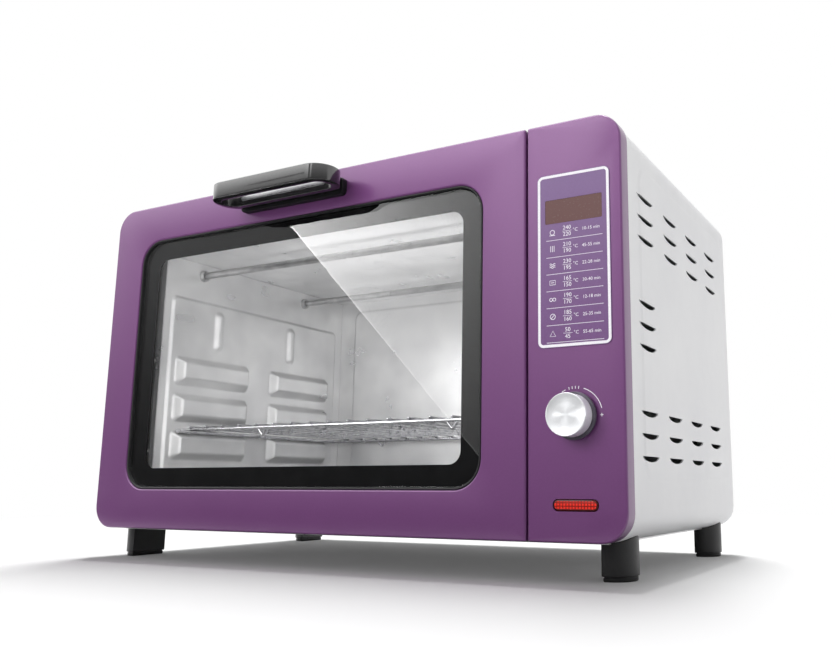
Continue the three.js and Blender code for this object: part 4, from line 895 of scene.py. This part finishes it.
def dial_print():
    """Two arcs about the knob, four ticks between them and a plus sign."""
    form = Form()
    front = FASCIA.low.y - PRINT_DEPTH
    for start, end, steps in ARCS:
        strip(form, arc(KNOB_CENTRE, ARC_RADIUS, start, end, steps), ARC_WIDTH, front)
    for angle in TICKS:
        strip(form, [on_circle(KNOB_CENTRE, radius, math.radians(angle))
                     for radius in (ARC_RADIUS - TICK_REACH, ARC_RADIUS + TICK_REACH)], TICK_WIDTH, front)
    x, z = PLUS
    strip(form, [(x - PLUS_REACH, z), (x + PLUS_REACH, z)], TICK_WIDTH, front)
    strip(form, [(x, z - PLUS_REACH), (x, z + PLUS_REACH)], TICK_WIDTH, front - PLUS_LIFT)
    return form


overlay_print().make("display_overlay_print", "housing", "overlay_film", finishes=[PRINT], outward=False)
dial_print().make("knob_dial_print", "housing", "purple_paint", finishes=[PRINT])

# Knob: sections of (radius, depth behind the part's front) and of (radius, depth before its back)

SKIRT = Box("knob_skirt")
CAP_RADIUS = (CAP.high.x - CAP.low.x) / 2
SKIRT_RADIUS = (SKIRT.high.x - SKIRT.low.x) / 2
KNOB_SIDES = 72
CAP_CORE = 5.0
CAP_DISH = ((POINT, 0.12), (CAP_RADIUS * 0.5, 0.11))
CAP_RIM = ((0.75, 0.1), (0.55, 0.0), (0.28, 0.02), (0.05, 0.25), (0.0, 0.5), (0.0, 0.75), (0.55, 0.95),
           (0.55, 1.45), (0.15, 1.7))
CAP_FRONT = (*CAP_DISH, *((CAP_RADIUS - by, depth) for by, depth in CAP_RIM))
CAP_BACK = ((CAP_RADIUS - 0.1, 1.2), (CAP_RADIUS - 0.5, 0.0), (CAP_CORE, 0.0), (CAP_CORE, 0.6), (POINT, 0.6))
SKIRT_FRONT = ((POINT, 0.0), (CAP_RADIUS - 1.0, 0.0), (SKIRT_RADIUS - 0.5, 0.15), (SKIRT_RADIUS - 0.1, 0.5),
               (SKIRT_RADIUS, 1.0))
SKIRT_BACK = ((SKIRT_RADIUS, 0.2), (SKIRT_RADIUS - 0.3, 0.0), (POINT, 0.0))


def knob_part(box, front, back):
    return Form().turned(KNOB_CENTRE, [*((radius, box.low.y + depth) for radius, depth in front),
                                       *((radius, box.high.y - depth) for radius, depth in back)], KNOB_SIDES)


knob_part(CAP, CAP_FRONT, CAP_BACK).make(
    "knob_cap_turning", "knob", "knob_aluminium", ["knob_cap"], smooth=28)
knob_part(SKIRT, SKIRT_FRONT, SKIRT_BACK).make(
    "knob_skirt_moulding", "knob", "black_plastic", ["knob_skirt"], [SKIRT_GREY])

# Outer wrap with its louvres

WRAP = Box("outer_wrap")
WRAP_SHEET = 0.8
WRAP_RADIUS = FACE_RADIUS - 1.0
WRAP_CORNER_STEPS = 8
WRAP_TOP_STEPS = 12
WRAP_GRID = 9.0
RISE_GRID, DEPTH_GRID = 1.6, 1.4
FRONT_RIM, BACK_RIM = 2.4, 2.0
LIP_FOLDS = (12, 4)
FRONT_ROLL, FRONT_ROLL_FALL = 1.2, 0.9
BACK_ROLL, BACK_ROLL_FALL = 0.9, 0.6
LOUVRE_LENGTH = 33.8
LOUVRE_HEIGHT = 3.9
LOUVRE_FIRST = WRAP.low.y + 35.0
LOUVRE_PITCH = 58.8
LOUVRE_ROW_PITCH = 15.3
LOUVRE_BLOCKS = ((86.5, 4), (162.9, 1), (240.3, 4))
LOUVRE_CUT = 6
LIP_TOP_GAP = 0.02
# How much longer and higher than the opening the lip's outer and inner edge are.
LIP_OUTER, LIP_INNER = (0.1, 0.05), (-0.6, -0.12)
LIP_FRONT, LIP_DEPTH, LIP_BACK = 0.12, 1.1, 0.7
LIP_THICK, LIP_INNER_FALL, LIP_OUTER_FALL = 0.4, 0.3, 0.35
FIELD_ACROSS = (WRAP.low.y + 22.7, WRAP.high.y - 6.6)
FIELD_UP = (41.0, 262.0)
FIELD_RADIUS = 16.0
FIELD_HEIGHT = 0.7
FIELD_SLOPE = 2.2
FIELD_RIM = (18, 2)


def louvre_places():
    for top, columns in LOUVRE_BLOCKS:
        for row in range(3):
            for column in range(columns):
                yield LOUVRE_FIRST + column * LOUVRE_PITCH, top - row * LOUVRE_ROW_PITCH


def half_moon(y, top, length, height, steps=10):
    """Points (y, z) of a half moon with a straight upper edge."""
    return [(y - length / 2, top),
            *((y - length / 2 * math.cos(turn), top - height * math.sin(turn))
              for turn in run(0, math.pi, steps)[1:-1]),
            (y + length / 2, top)]


def wrap_profile():
    """(x, z, normal x, normal z) along the wrap's outer face, from the lower left edge over the top."""
    left, right = WRAP.low.x + FIELD_HEIGHT, WRAP.high.x - FIELD_HEIGHT
    low, top = WRAP.low.z, WRAP.high.z
    radius = WRAP_RADIUS
    turns = run(0, QUARTER_TURN, WRAP_CORNER_STEPS)
    points = [(left + radius + reach, low, 0, -1) for reach in LIP_FOLDS]
    points += [(left + radius - radius * math.sin(turn), low + radius - radius * math.cos(turn),
                -math.sin(turn), -math.cos(turn)) for turn in turns]
    rise = dense_lines(low + radius, top - radius, rims(*FIELD_UP, *FIELD_RIM), RISE_GRID, WRAP_GRID)
    points += [(left, z, -1, 0) for z in rise[1:-1]]
    points += [(left + radius - radius * math.cos(turn), top - radius + radius * math.sin(turn),
                -math.cos(turn), math.sin(turn)) for turn in turns]
    mirrored = [(left + right - x, z, -nx, nz) for x, z, nx, nz in reversed(points)]
    points += [(x, top, 0, 1) for x in run(left + radius, right - radius, WRAP_TOP_STEPS)[1:-1]]
    return points + mirrored


def wrap():
    profile = wrap_profile()
    low, high = WRAP.low.y, WRAP.high.y
    depth = dense_lines(low, high, [
        (low, low + FRONT_RIM), *rims(*FIELD_ACROSS, *FIELD_RIM), (high - BACK_RIM, high)],
                        DEPTH_GRID, WRAP_GRID)

    def point(index, y, side):
        x, z, nx, nz = profile[index]
        inside = outline_depth(y, z, FIELD_ACROSS, FIELD_UP, FIELD_RADIUS)
        raised = FIELD_HEIGHT * soft_step(inside / FIELD_SLOPE + 0.5) * abs(nx)
        roll = max(0.0, FRONT_ROLL - (y - low)) / FRONT_ROLL
        back = max(0.0, BACK_ROLL - (high - y)) / BACK_ROLL
        shift = raised - side - FRONT_ROLL_FALL * (1 - math.sqrt(1 - roll * roll))
        shift -= BACK_ROLL_FALL * (1 - math.sqrt(1 - back * back))
        return x + nx * shift, y, z + nz * shift

    return sheet(range(len(profile)), depth, point, WRAP_SHEET)


def louvre_cuts():
    form = Form()
    for side_x in WRAP.across:
        for y, top in louvre_places():
            outline = half_moon(y, top, LOUVRE_LENGTH, LOUVRE_HEIGHT)
            form.prism(outline, side_x - LOUVRE_CUT, side_x + LOUVRE_CUT)
    return form


def louvre_lips():
    """The pressed edge under each opening: a thin lip that turns into the body."""
    form = Form()
    for side_x, inward in zip(WRAP.across, (1, -1)):
        for y, top in louvre_places():
            outer, inner = (half_moon(y, top - LIP_TOP_GAP, LOUVRE_LENGTH + longer, LOUVRE_HEIGHT + higher)
                            for longer, higher in (LIP_OUTER, LIP_INNER))
            form.skin([[
                (side_x + inward * LIP_FRONT, ya, za), (side_x + inward * LIP_DEPTH, yb, zb),
                (side_x + inward * (LIP_DEPTH + LIP_THICK), yb, zb - LIP_INNER_FALL),
                (side_x + inward * LIP_BACK, ya, za - LIP_OUTER_FALL),
            ] for (ya, za), (yb, zb) in zip(outer, inner)])
    return form


shell = wrap().make("outer_wrap_folding", slot="white_paint")
carve(shell, louvre_cuts(), 30)
louvre_lips().make("louvre_lips", "housing", "white_paint")
attach(shell, "housing", ["outer_wrap"])

# Cavity

WALL_SHEET = 0.7
WALL_SMOOTH = 50
WALL_GRID = 5.0
BACK_GRID = 8.0
FORM_GRID = 1.1
CAVITY_ACROSS = (51.5, 376.6)
CAVITY_UP = (36.0, 246.0)
CAVITY_DEPTH = (15.75, 266.25)
EMBOSS_DEPTH = (23.0, 255.0)
EMBOSS_UP = (44.0, 210.0)
EMBOSS_RADIUS = 6.0
EMBOSS_HEIGHT = 2.0
EMBOSS_SLOPE, EMBOSS_SOFT = 2.4, 0.8
GUIDE_STARTS = (29.8, 150.0)
GUIDE_LENGTH = 90.0
GUIDE_HEIGHT = 26.2
GUIDE_BOTTOMS = (59.0, 93.2, 127.4)
GUIDE_RADIUS = 4.5
GUIDE_REACH = 10.0
GUIDE_SLOPE, GUIDE_SOFT = 6.4, 0.5
BEAD_PLACES = (78.8, 178.8)
BEAD_RADIUS = 14.5 / 2
BEAD_UP = (162.0, 204.0)
BEAD_REACH = 3.5
EMBOSS_RIM, GUIDE_RIM = 7, 8
BACK = Box("cavity_back_wall")
BACK_Y = 266.5
PANEL_ACROSS = (CAVITY_ACROSS[0] + 19.5, CAVITY_ACROSS[1] - 19.5)
PANEL_UP = (CAVITY_UP[0] + 10.4, CAVITY_UP[1] - 10.4)
PANEL_RADIUS = 10.0
PANEL_SLOPE, PANEL_SOFT = 2.6, 0.7
PANEL_RIM = 11


def pressed(depth, slope, softness):
    """The rise of a pressed form at a depth inside its outline, with softened edges."""
    share = clamp(depth / slope)
    return (1 - softness) * share + softness * soft_step(share)


def wall_height(y, z):
    inside = outline_depth(y, z, EMBOSS_DEPTH, EMBOSS_UP, EMBOSS_RADIUS)
    height = EMBOSS_HEIGHT * pressed(inside, EMBOSS_SLOPE, EMBOSS_SOFT)
    for start in GUIDE_STARTS:
        for bottom in GUIDE_BOTTOMS:
            depth = outline_depth(
                y, z, (start, start + GUIDE_LENGTH), (bottom, bottom + GUIDE_HEIGHT), GUIDE_RADIUS)
            if depth > 0:
                rise = (GUIDE_REACH - EMBOSS_HEIGHT) * pressed(depth, GUIDE_SLOPE, GUIDE_SOFT)
                height = max(height, EMBOSS_HEIGHT + rise)
    for middle in BEAD_PLACES:
        depth = outline_depth(y, z, (middle - BEAD_RADIUS, middle + BEAD_RADIUS), BEAD_UP, BEAD_RADIUS)
        if depth > 0:
            share = clamp(depth / BEAD_RADIUS)
            height = max(height, EMBOSS_HEIGHT + BEAD_REACH * 0.5 * (1 - math.cos(math.pi * share)))
    return height


def side_wall(wall_x, inward):
    depth_zones = rims(*EMBOSS_DEPTH, EMBOSS_RIM)
    for start in GUIDE_STARTS:
        depth_zones += rims(start, start + GUIDE_LENGTH, GUIDE_RIM)
    depth_zones += [(middle - BEAD_RADIUS - 1, middle + BEAD_RADIUS + 1) for middle in BEAD_PLACES]
    up_zones = rims(*EMBOSS_UP, EMBOSS_RIM)
    for bottom in GUIDE_BOTTOMS:
        up_zones += rims(bottom, bottom + GUIDE_HEIGHT, GUIDE_RIM)
    up_zones.append((BEAD_UP[0] - 1, BEAD_UP[1] + 1))

    def point(y, z, side):
        return wall_x + inward * (wall_height(y, z) - side), y, z

    return sheet(dense_lines(*CAVITY_DEPTH, depth_zones, FORM_GRID, WALL_GRID),
                 dense_lines(*CAVITY_UP, up_zones, FORM_GRID, WALL_GRID), point, WALL_SHEET)


def back_wall():
    reach = BACK_Y - BACK.low.y

    def point(x, z, side):
        inside = outline_depth(x, z, PANEL_ACROSS, PANEL_UP, PANEL_RADIUS)
        return x, BACK_Y - reach * pressed(inside, PANEL_SLOPE, PANEL_SOFT) + side, z

    return sheet(dense_lines(*BACK.across, rims(*PANEL_ACROSS, PANEL_RIM), FORM_GRID, BACK_GRID),
                 dense_lines(*BACK.up, rims(*PANEL_UP, PANEL_RIM), FORM_GRID, BACK_GRID), point, WALL_SHEET)


for wall, form in (("cavity_left_wall", side_wall(CAVITY_ACROSS[0], 1)),
                   ("cavity_right_wall", side_wall(CAVITY_ACROSS[1], -1)), ("cavity_back_wall", back_wall())):
    form.make(wall + "_pressing", "housing", "bright_steel", [wall], smooth=WALL_SMOOTH)

# Wire rack

RAIL_RADIUS = 1.8
WIRE_RADIUS = 1.2
WIRE_SINK = 0.4
WIRE_END = 0.5
WIRE_NEAR_END = 20
RAIL_SIDES = 12
WIRE_SIDES = 10
RACK_ACROSS = (57.0, 371.1)
RACK_DEPTH = (32.0, 253.0)
RACK_Z = 84.6
RACK_CORNER = 7.0
WIRES = 15
HOOKS = ((163.0, RACK_DEPTH[0]), (351.0, RACK_DEPTH[0]), (124.0, RACK_DEPTH[1]))
HOOK = ((-6, 0), (-5, -0.8), (-0.9, -5.7), (0, -6.2), (0.9, -5.7), (5, -0.8), (6, 0))


def rack():
    """A rail all round, wires from front to back on it, and three hooks under it."""
    form = Form()
    rail = rounded(RACK_ACROSS, RACK_DEPTH, RACK_CORNER, steps=6)
    form.tube([(x, y, RACK_Z) for x, y in rail], RAIL_RADIUS, RAIL_SIDES, closed=True)
    wire_z = RACK_Z + RAIL_RADIUS + WIRE_RADIUS - WIRE_SINK
    front, back = RACK_DEPTH
    wire_places = (front - RAIL_RADIUS + WIRE_END, front + WIRE_NEAR_END, back - WIRE_NEAR_END,
                   back + RAIL_RADIUS - WIRE_END)
    for x in run(*RACK_ACROSS, WIRES + 1)[1:-1]:
        form.tube([(x, y, wire_z) for y in wire_places], WIRE_RADIUS, WIRE_SIDES)
    for x, y in HOOKS:
        form.tube([(x + shift, y, RACK_Z + rise) for shift, rise in HOOK], WIRE_RADIUS, WIRE_SIDES)
    return form


rack().make("wire_rack_welded", "rack", "wire_chrome", ["wire_rack"], smooth=60)

# Heating tubes: sections of (radius, distance from the end) and (radius, distance from the wall)

HEATER_RADIUS = 3.25
HEATER_END = ((POINT, 0), (1.0, 0), (1.2, 0.4), (1.2, 9), (2.9, 9.2), (HEATER_RADIUS, 9.8))
HEATER_SIDES = 20


def heater(node):
    box = Box(node)
    centre = ((box.low.y + box.high.y) / 2, (box.low.z + box.high.z) / 2)
    bush = (box.high.z - box.low.z) / 2
    bush_section = ((HEATER_RADIUS, -1.0), (bush, -0.9), (bush, 2.4), (bush - 0.8, 3.2),
                    (HEATER_RADIUS + 0.3, 3.6), (HEATER_RADIUS, 3.4))
    form = Form()
    form.turned(centre, [*((radius, box.low.x + along) for radius, along in HEATER_END),
                         *((radius, box.high.x - along) for radius, along in reversed(HEATER_END))],
                HEATER_SIDES, across=True)
    for wall_x, inward in zip(CAVITY_ACROSS, (1, -1)):
        form.turned(centre, [(radius, wall_x + inward * along) for radius, along in bush_section],
                    HEATER_SIDES, across=True)
    return form


for node in ("upper_heater_front", "upper_heater_rear", "lower_heater_front", "lower_heater_rear"):
    heater(node).make(node + "_tube", "housing", "heater_steel", [node], smooth=40)

# Feet: a section of (distance inward, height), with a top that follows the wrap's lower fold

FOOT_RADIUS = 17.0
FOOT_STEPS = 30
FOOT_SECTION = ((1.5, 0), (1.05, 0.4), (0.9, 0.9), (0.9, 2.5), (1.3, 2.8), (1.3, 3.3), (0.35, 3.5),
                (0.0, 3.9))
FOOT_TOP = ((0.0, 0.7), (0.35, 0.15))


def foot(node, outward):
    box = Box(node)
    middle_y = (box.low.y + box.high.y) / 2
    if outward < 0:
        centre_x, flat_x, side_x = box.low.x + FOOT_RADIUS, box.high.x, WRAP.low.x + FIELD_HEIGHT
    else:
        centre_x, flat_x, side_x = box.high.x - FOOT_RADIUS, box.low.x, WRAP.high.x - FIELD_HEIGHT

    def outline(by):
        radius = FOOT_RADIUS - by
        start = math.acos(clamp(abs(flat_x + outward * by - centre_x) / radius))
        return [(centre_x - outward * radius * math.cos(turn), middle_y + radius * math.sin(turn))
                for turn in run(start, FULL_TURN - start, FOOT_STEPS)]

    def top(x):
        inside = max(WRAP_RADIUS - abs(x - side_x), 0.0)
        return WRAP.low.z + WRAP_RADIUS - math.sqrt(WRAP_RADIUS ** 2 - inside ** 2)

    loops = [[(x, y, box.low.z + rise) for x, y in outline(by)] for by, rise in FOOT_SECTION]
    loops += [[(x, y, top(x) - under) for x, y in outline(by)] for by, under in FOOT_TOP]
    return Form().skin(loops)


for node, outward in (("foot_front_left", -1), ("foot_front_right", 1),
                      ("foot_rear_left", -1), ("foot_rear_right", 1)):
    foot(node, outward).make(node + "_moulding", "housing", "black_plastic", [node])

# Small screws in the front frame

SCREWS = [(x, z) for x in (43.9, 384.2) for z in (147.3, 65.9)]
SCREW_Y = 14.8
SCREW_HEAD = ((POINT, -1.0), (1.4, -1.1), (2.1, -0.9), (2.5, -0.4), (2.6, 0.1), (POINT, 0.2))

screws = Form()
for centre in SCREWS:
    screws.turned(centre, [(radius, SCREW_Y + depth) for radius, depth in SCREW_HEAD], 20)
screws.make("front_frame_screws", "housing", "heater_steel")

# Carried CAD nodes take their slot's finish

for node in frame["nodes"].values():
    for holder in node.material_slots:
        key = holder.material.name.split(".")[0] if holder.material else None
        if key in FINISHES:
            holder.material = FINISHES[key]

# Camera

CAMERA_AT = (686.5, -510.8, 37.5)
YAW, PITCH = math.radians(26.99), math.radians(10.16)
IMAGE_WIDTH, IMAGE_HEIGHT = 835, 670
FOCAL_PIXELS = 845.7
MIDDLE = (523.2, 332.4)
SENSOR = 36.0
CLIP = (0.01, 100)


def camera():
    data = bpy.data.cameras.new("camera")
    obj = linked("camera", data)
    forward = Vector((-math.sin(YAW) * math.cos(PITCH), math.cos(YAW) * math.cos(PITCH), math.sin(PITCH)))
    right = Vector((math.cos(YAW), math.sin(YAW), 0))
    turn = Matrix((right, right.cross(forward), -forward)).transposed()
    obj.matrix_world = Matrix.Translation(place(*CAMERA_AT)) @ turn.to_4x4()
    data.sensor_width = SENSOR
    data.lens = FOCAL_PIXELS / IMAGE_WIDTH * SENSOR
    data.shift_x = (IMAGE_WIDTH / 2 - MIDDLE[0]) / IMAGE_WIDTH
    data.shift_y = (MIDDLE[1] - IMAGE_HEIGHT / 2) / IMAGE_WIDTH
    data.clip_start, data.clip_end = CLIP
    bpy.context.scene.camera = obj


camera()

# Floor and world

FLOOR_REACH = 14.0
FLOOR_SIDES = 64
FLOOR_GREY = 0.84
FLOOR_GLOW = 0.08
FADE_START = 0.5
FADE_END = 1.25
WORLD_FILL = 0.28
FRONT_LOW = 0.12
FRONT_HIGH = 3.0
FRONT_RISE = 0.5
FRONT_CURVE = 1.6
FRONT_EDGE = (-0.08, 0.06)
# Bands of the bright sky in front: from one direction across to another, the level goes from one to another.
WORLD_ACROSS = ((-0.62, -0.42, 0.85, 1.0), (-0.42, -0.32, 1.0, 1.15), (-0.25, -0.22, 1.0, 0.1),
                (-0.11, -0.08, 1.0, 9.0), (0.02, 0.05, 1.0, 0.25))


def stage_mesh(name, points, material):
    mesh = bpy.data.meshes.new(name)
    mesh.from_pydata([tuple(point) for point in points], [], [tuple(range(len(points)))])
    mesh.materials.append(material)
    obj = linked(name, mesh)
    return obj


def floor():
    """A pale floor that takes the shadow near the oven and turns to plain white further off."""
    material = bpy.data.materials.new("stage_floor")
    shade = Nodes(material)
    diffuse = shade.node("ShaderNodeBsdfDiffuse", {"Color": (FLOOR_GREY, FLOOR_GREY, FLOOR_GREY, 1)})
    path = shade.node("ShaderNodeLightPath")
    spot = shade.node("ShaderNodeTexCoord").outputs["Object"]
    distance = shade.node("ShaderNodeVectorMath", {0: spot}, operation="LENGTH").outputs["Value"]
    glow = shade.node("ShaderNodeEmission", {
        "Strength": shade.maths("MULTIPLY", path.outputs["Is Camera Ray"], FLOOR_GLOW)})
    near = shade.node("ShaderNodeAddShader", {0: diffuse.outputs[0], 1: glow.outputs[0]})
    white = shade.node("ShaderNodeEmission", {"Strength": 1.0})
    pick = shade.maths("MULTIPLY", shade.ease(distance, FADE_START, FADE_END),
                       shade.most(path, "Is Camera Ray", "Is Glossy Ray", "Is Transmission Ray"))
    shade.show(shade.node("ShaderNodeMixShader", {0: pick, 1: near.outputs[0], 2: white.outputs[0]}))
    outline = circle((0, 0), FLOOR_REACH, FLOOR_SIDES)
    return stage_mesh("stage_floor", [(x, y, 0.0) for x, y in outline], material)


def world():
    """White behind the oven; in mirrors dark near the horizon on the camera's side and bright above."""
    studio = bpy.data.worlds.new("studio")
    bpy.context.scene.world = studio
    shade = Nodes(studio, "ShaderNodeOutputWorld")
    path = shade.node("ShaderNodeLightPath")
    direction = shade.node("ShaderNodeTexCoord").outputs["Generated"]
    x, y, z = shade.node("ShaderNodeSeparateXYZ", {0: direction}).outputs
    height = shade.node("ShaderNodeMapRange", {"Value": z, "From Max": FRONT_RISE}).outputs[0]
    rise = shade.maths("MULTIPLY", shade.maths("POWER", height, FRONT_CURVE), FRONT_HIGH)
    for band in WORLD_ACROSS:
        rise = shade.maths("MULTIPLY", rise, shade.ease(x, *band))
    mirrored = shade.blend(shade.ease(y, *FRONT_EDGE, 1.0, 0.0), 1.0, shade.maths("ADD", rise, FRONT_LOW))
    other = shade.blend(shade.most(path, "Is Glossy Ray", "Is Transmission Ray"), WORLD_FILL, mirrored)
    level = shade.blend(path.outputs["Is Camera Ray"], other, 1.0)
    shade.show(shade.node("ShaderNodeBackground", {"Color": (1, 1, 1, 1), "Strength": level}))


floor_obj = floor()
world()

# Panels and cloths that only mirrors see

FLAG_GREY = 0.03
FLAG = ((-3.5, -5.0, 0.002), (1.5, -5.0, 0.002), (1.5, -0.26, 0.002), (-3.5, -0.26, 0.002))
GLARE_BACK = -1500.0
GLARE_TOP = Vector((209.4, 0, 247.2))
GLARE_FOOT = Vector((391.3, 0, 55.2))
GLARE_PAST, GLARE_WIDTH = 60, 160
GLARE_STRENGTH = 22.0
GLARE_FALL = 0.36
GLARE_RIM = 0.9
RIM_LIFT, HANDLE_LIFT = 10, 20
# Points of a black strip that stands in for the handle's reflection in the window glass: a painted
# reflection.
HANDLE_REFLECTION_FLAG = ((172, 262), (180, 252.5), (190, 249.2), (203, 247.8), (288, 247.7), (293, 249), (296, 252),
               (296.3, 262))


def reflections_only(obj):
    obj.visible_camera = False
    obj.visible_diffuse = False
    obj.visible_shadow = False
    obj.visible_volume_scatter = False
    return obj


def cloth(name, material_name, points, grey):
    """A dark cloth of one even grey."""
    material = bpy.data.materials.new(material_name)
    shade = Nodes(material)
    shade.show(shade.node("ShaderNodeEmission", {"Color": (grey, grey, grey, 1), "Strength": 1.0}))
    reflections_only(stage_mesh(name, points, material))


def thrown(x, z, back=GLARE_BACK):
    """The place behind the camera that the glass mirrors at (x, z)."""
    glass_y = GLASS.low.y
    mirror = Vector((CAMERA_AT[0], 2 * glass_y - CAMERA_AT[1], CAMERA_AT[2]))
    point = Vector((x, glass_y, z))
    share = (back - mirror.y) / (point.y - mirror.y)
    return place(*(mirror + (point - mirror) * share))


def glare_panel():
    """A bright panel that the window glass alone mirrors, with the straight edge that the glass shows."""
    along = (GLARE_FOOT - GLARE_TOP).normalized()
    across = Vector((-along.z, 0, along.x))
    start, end = GLARE_TOP - along * GLARE_PAST, GLARE_FOOT + along * GLARE_PAST
    corners = ((start.x, start.z), (end.x, end.z), (end.x + GLARE_WIDTH, end.z),
               (end.x + GLARE_WIDTH, start.z + GLARE_PAST), (start.x, start.z + GLARE_PAST))
    rim = (GLARE_TOP, GLARE_FOOT, GLARE_FOOT + across * GLARE_RIM, GLARE_TOP + across * GLARE_RIM)
    material = bpy.data.materials.new("stage_glare")
    shade = Nodes(material)
    spot = shade.node("ShaderNodeTexCoord").outputs["Object"]
    brightest = tuple(thrown(GLARE_TOP.x, GLARE_TOP.z))
    distance = shade.node("ShaderNodeVectorMath", {0: spot, 1: brightest}, operation="DISTANCE")
    fall = shade.maths("EXPONENT", shade.maths("MULTIPLY", distance.outputs["Value"], -1.0 / GLARE_FALL))
    glow = shade.node("ShaderNodeEmission", {"Strength": shade.maths("MULTIPLY", fall, GLARE_STRENGTH)})
    clear = shade.node("ShaderNodeBsdfTransparent")
    shade.show(shade.node("ShaderNodeAddShader", {0: glow.outputs[0], 1: clear.outputs[0]}))
    receivers = group("glare_receivers", [window_pane])
    for name, points in (
            ("stage_glare_panel", [thrown(x, z) for x, z in corners]),
            ("stage_glare_rim", [thrown(point.x, point.z, GLARE_BACK + RIM_LIFT) for point in rim])):
        reflections_only(stage_mesh(name, points, material)).light_linking.receiver_collection = receivers


# Lamps


def group(name, members, state="INCLUDE"):
    """A collection that says which objects a lamp reaches, or which ones it passes by."""
    made = bpy.data.collections.new(name)
    for member in members:
        made.objects.link(member)
    for entry in made.collection_objects:
        entry.light_linking.link_state = state
    return made


def named(*starts):
    return [obj for obj in bpy.data.objects if obj.type == "MESH" and obj.name.startswith(starts)]


def lamp(receivers, name, at, target, size, power, glossy=False, blockers=None):
    """A soft box in metres that lights its receivers alone and isn't seen itself."""
    data = bpy.data.lights.new(name, "AREA")
    data.shape = "RECTANGLE"
    data.size, data.size_y = size
    data.energy = power
    obj = linked(name, data)
    at, target = Vector(at), Vector(target)
    obj.rotation_euler = (target - at).to_track_quat("-Z", "Y").to_euler()
    obj.location = at
    obj.visible_camera = False
    obj.visible_transmission = False
    obj.visible_glossy = glossy
    obj.light_linking.receiver_collection = receivers
    obj.light_linking.blocker_collection = blockers


def near_lamp(receivers, name, at, target, *values):
    """A lamp whose places are in millimetres of the face's frame."""
    lamp(receivers, name, place(*at), place(*target), *values)


def sun(receivers, name, direction, strength, angle, blockers=None):
    data = bpy.data.lights.new(name, "SUN")
    data.energy = strength
    data.angle = math.radians(angle)
    obj = linked(name, data)
    obj.rotation_euler = Vector(direction).to_track_quat("-Z", "Y").to_euler()
    obj.light_linking.receiver_collection = receivers
    obj.light_linking.blocker_collection = blockers


cloth("stage_front_flag", "stage_flag", FLAG, FLAG_GREY)
glare_panel()
# Painted reflection: a black strip that only the glass mirrors, in front of the glare panel, gives the dark
# notch of the handle's reflection.
cloth("stage_handle_flag", "stage_strip",
      [thrown(x, z, GLARE_BACK + HANDLE_LIFT) for x, z in HANDLE_REFLECTION_FLAG], 0.0)

oven_group = group("object_receivers", [floor_obj], "EXCLUDE")
floor_group = group("floor_receivers", [floor_obj])
floor_blockers = group(
    "floor_blockers", named("handle_bow", "handle_base", "handle_strip", "handle_trim"), "EXCLUDE")
cavity_group = group("cavity_receivers", named(
    "cavity_", "wire_rack", "upper_heater", "lower_heater", "heater_bracket"))
knob_group = group("knob_receivers", named("knob_cap"))
side_group = group("side_receivers", [floor_obj] + named("control_fascia", "door_outer"), "EXCLUDE")
KNOB_AIM = (467, 0, 80)

sun(oven_group, "overhead_key", (0.062, -0.14, -1.0), 1.05, 2.0)
lamp(oven_group, "overhead", (0.1, -0.2, 2.0), (0.0, 0.05, 0.1), (2.0, 1.6), 14, True)
lamp(oven_group, "front_fill", (-0.5, -2.4, 1.1), (0.0, 0.0, 0.15), (1.8, 1.2), 36)
lamp(side_group, "side_fill", (2.4, 0.1, 0.9), (0.25, 0.1, 0.15), (1.4, 1.0), 13)
sun(floor_group, "floor_key", (0.057, -0.09, -1.0), 0.5, 1.2, floor_blockers)
lamp(floor_group, "floor_soft", (-0.8, 1.8, 6.0), (0.0, 0.0, 0.0), (1.6, 3.6), 335, True, floor_blockers)
near_lamp(knob_group, "knob_bow_light", (-500, -900, 200), KNOB_AIM, (0.12, 0.16), 2.2, True)
near_lamp(knob_group, "knob_broad_light", (500, -900, 900), KNOB_AIM, (1.6, 1.2), 5.5)
near_lamp(knob_group, "knob_side_light", (1200, -300, 150), KNOB_AIM, (0.3, 0.6), 1.6, True)
near_lamp(cavity_group, "cavity_window_light", (200, -170, 130), (240, 100, 150), (0.40, 0.22), 1.8)
near_lamp(cavity_group, "cavity_side_light", (560, -260, 125), (60, 130, 115), (0.34, 0.24), 1.9, True)
near_lamp(cavity_group, "cavity_inner_light", (300, 40, 100), (200, 160, 246), (0.16, 0.08), 1.25)

scene = bpy.context.scene
scene.view_settings.view_transform = "Standard"
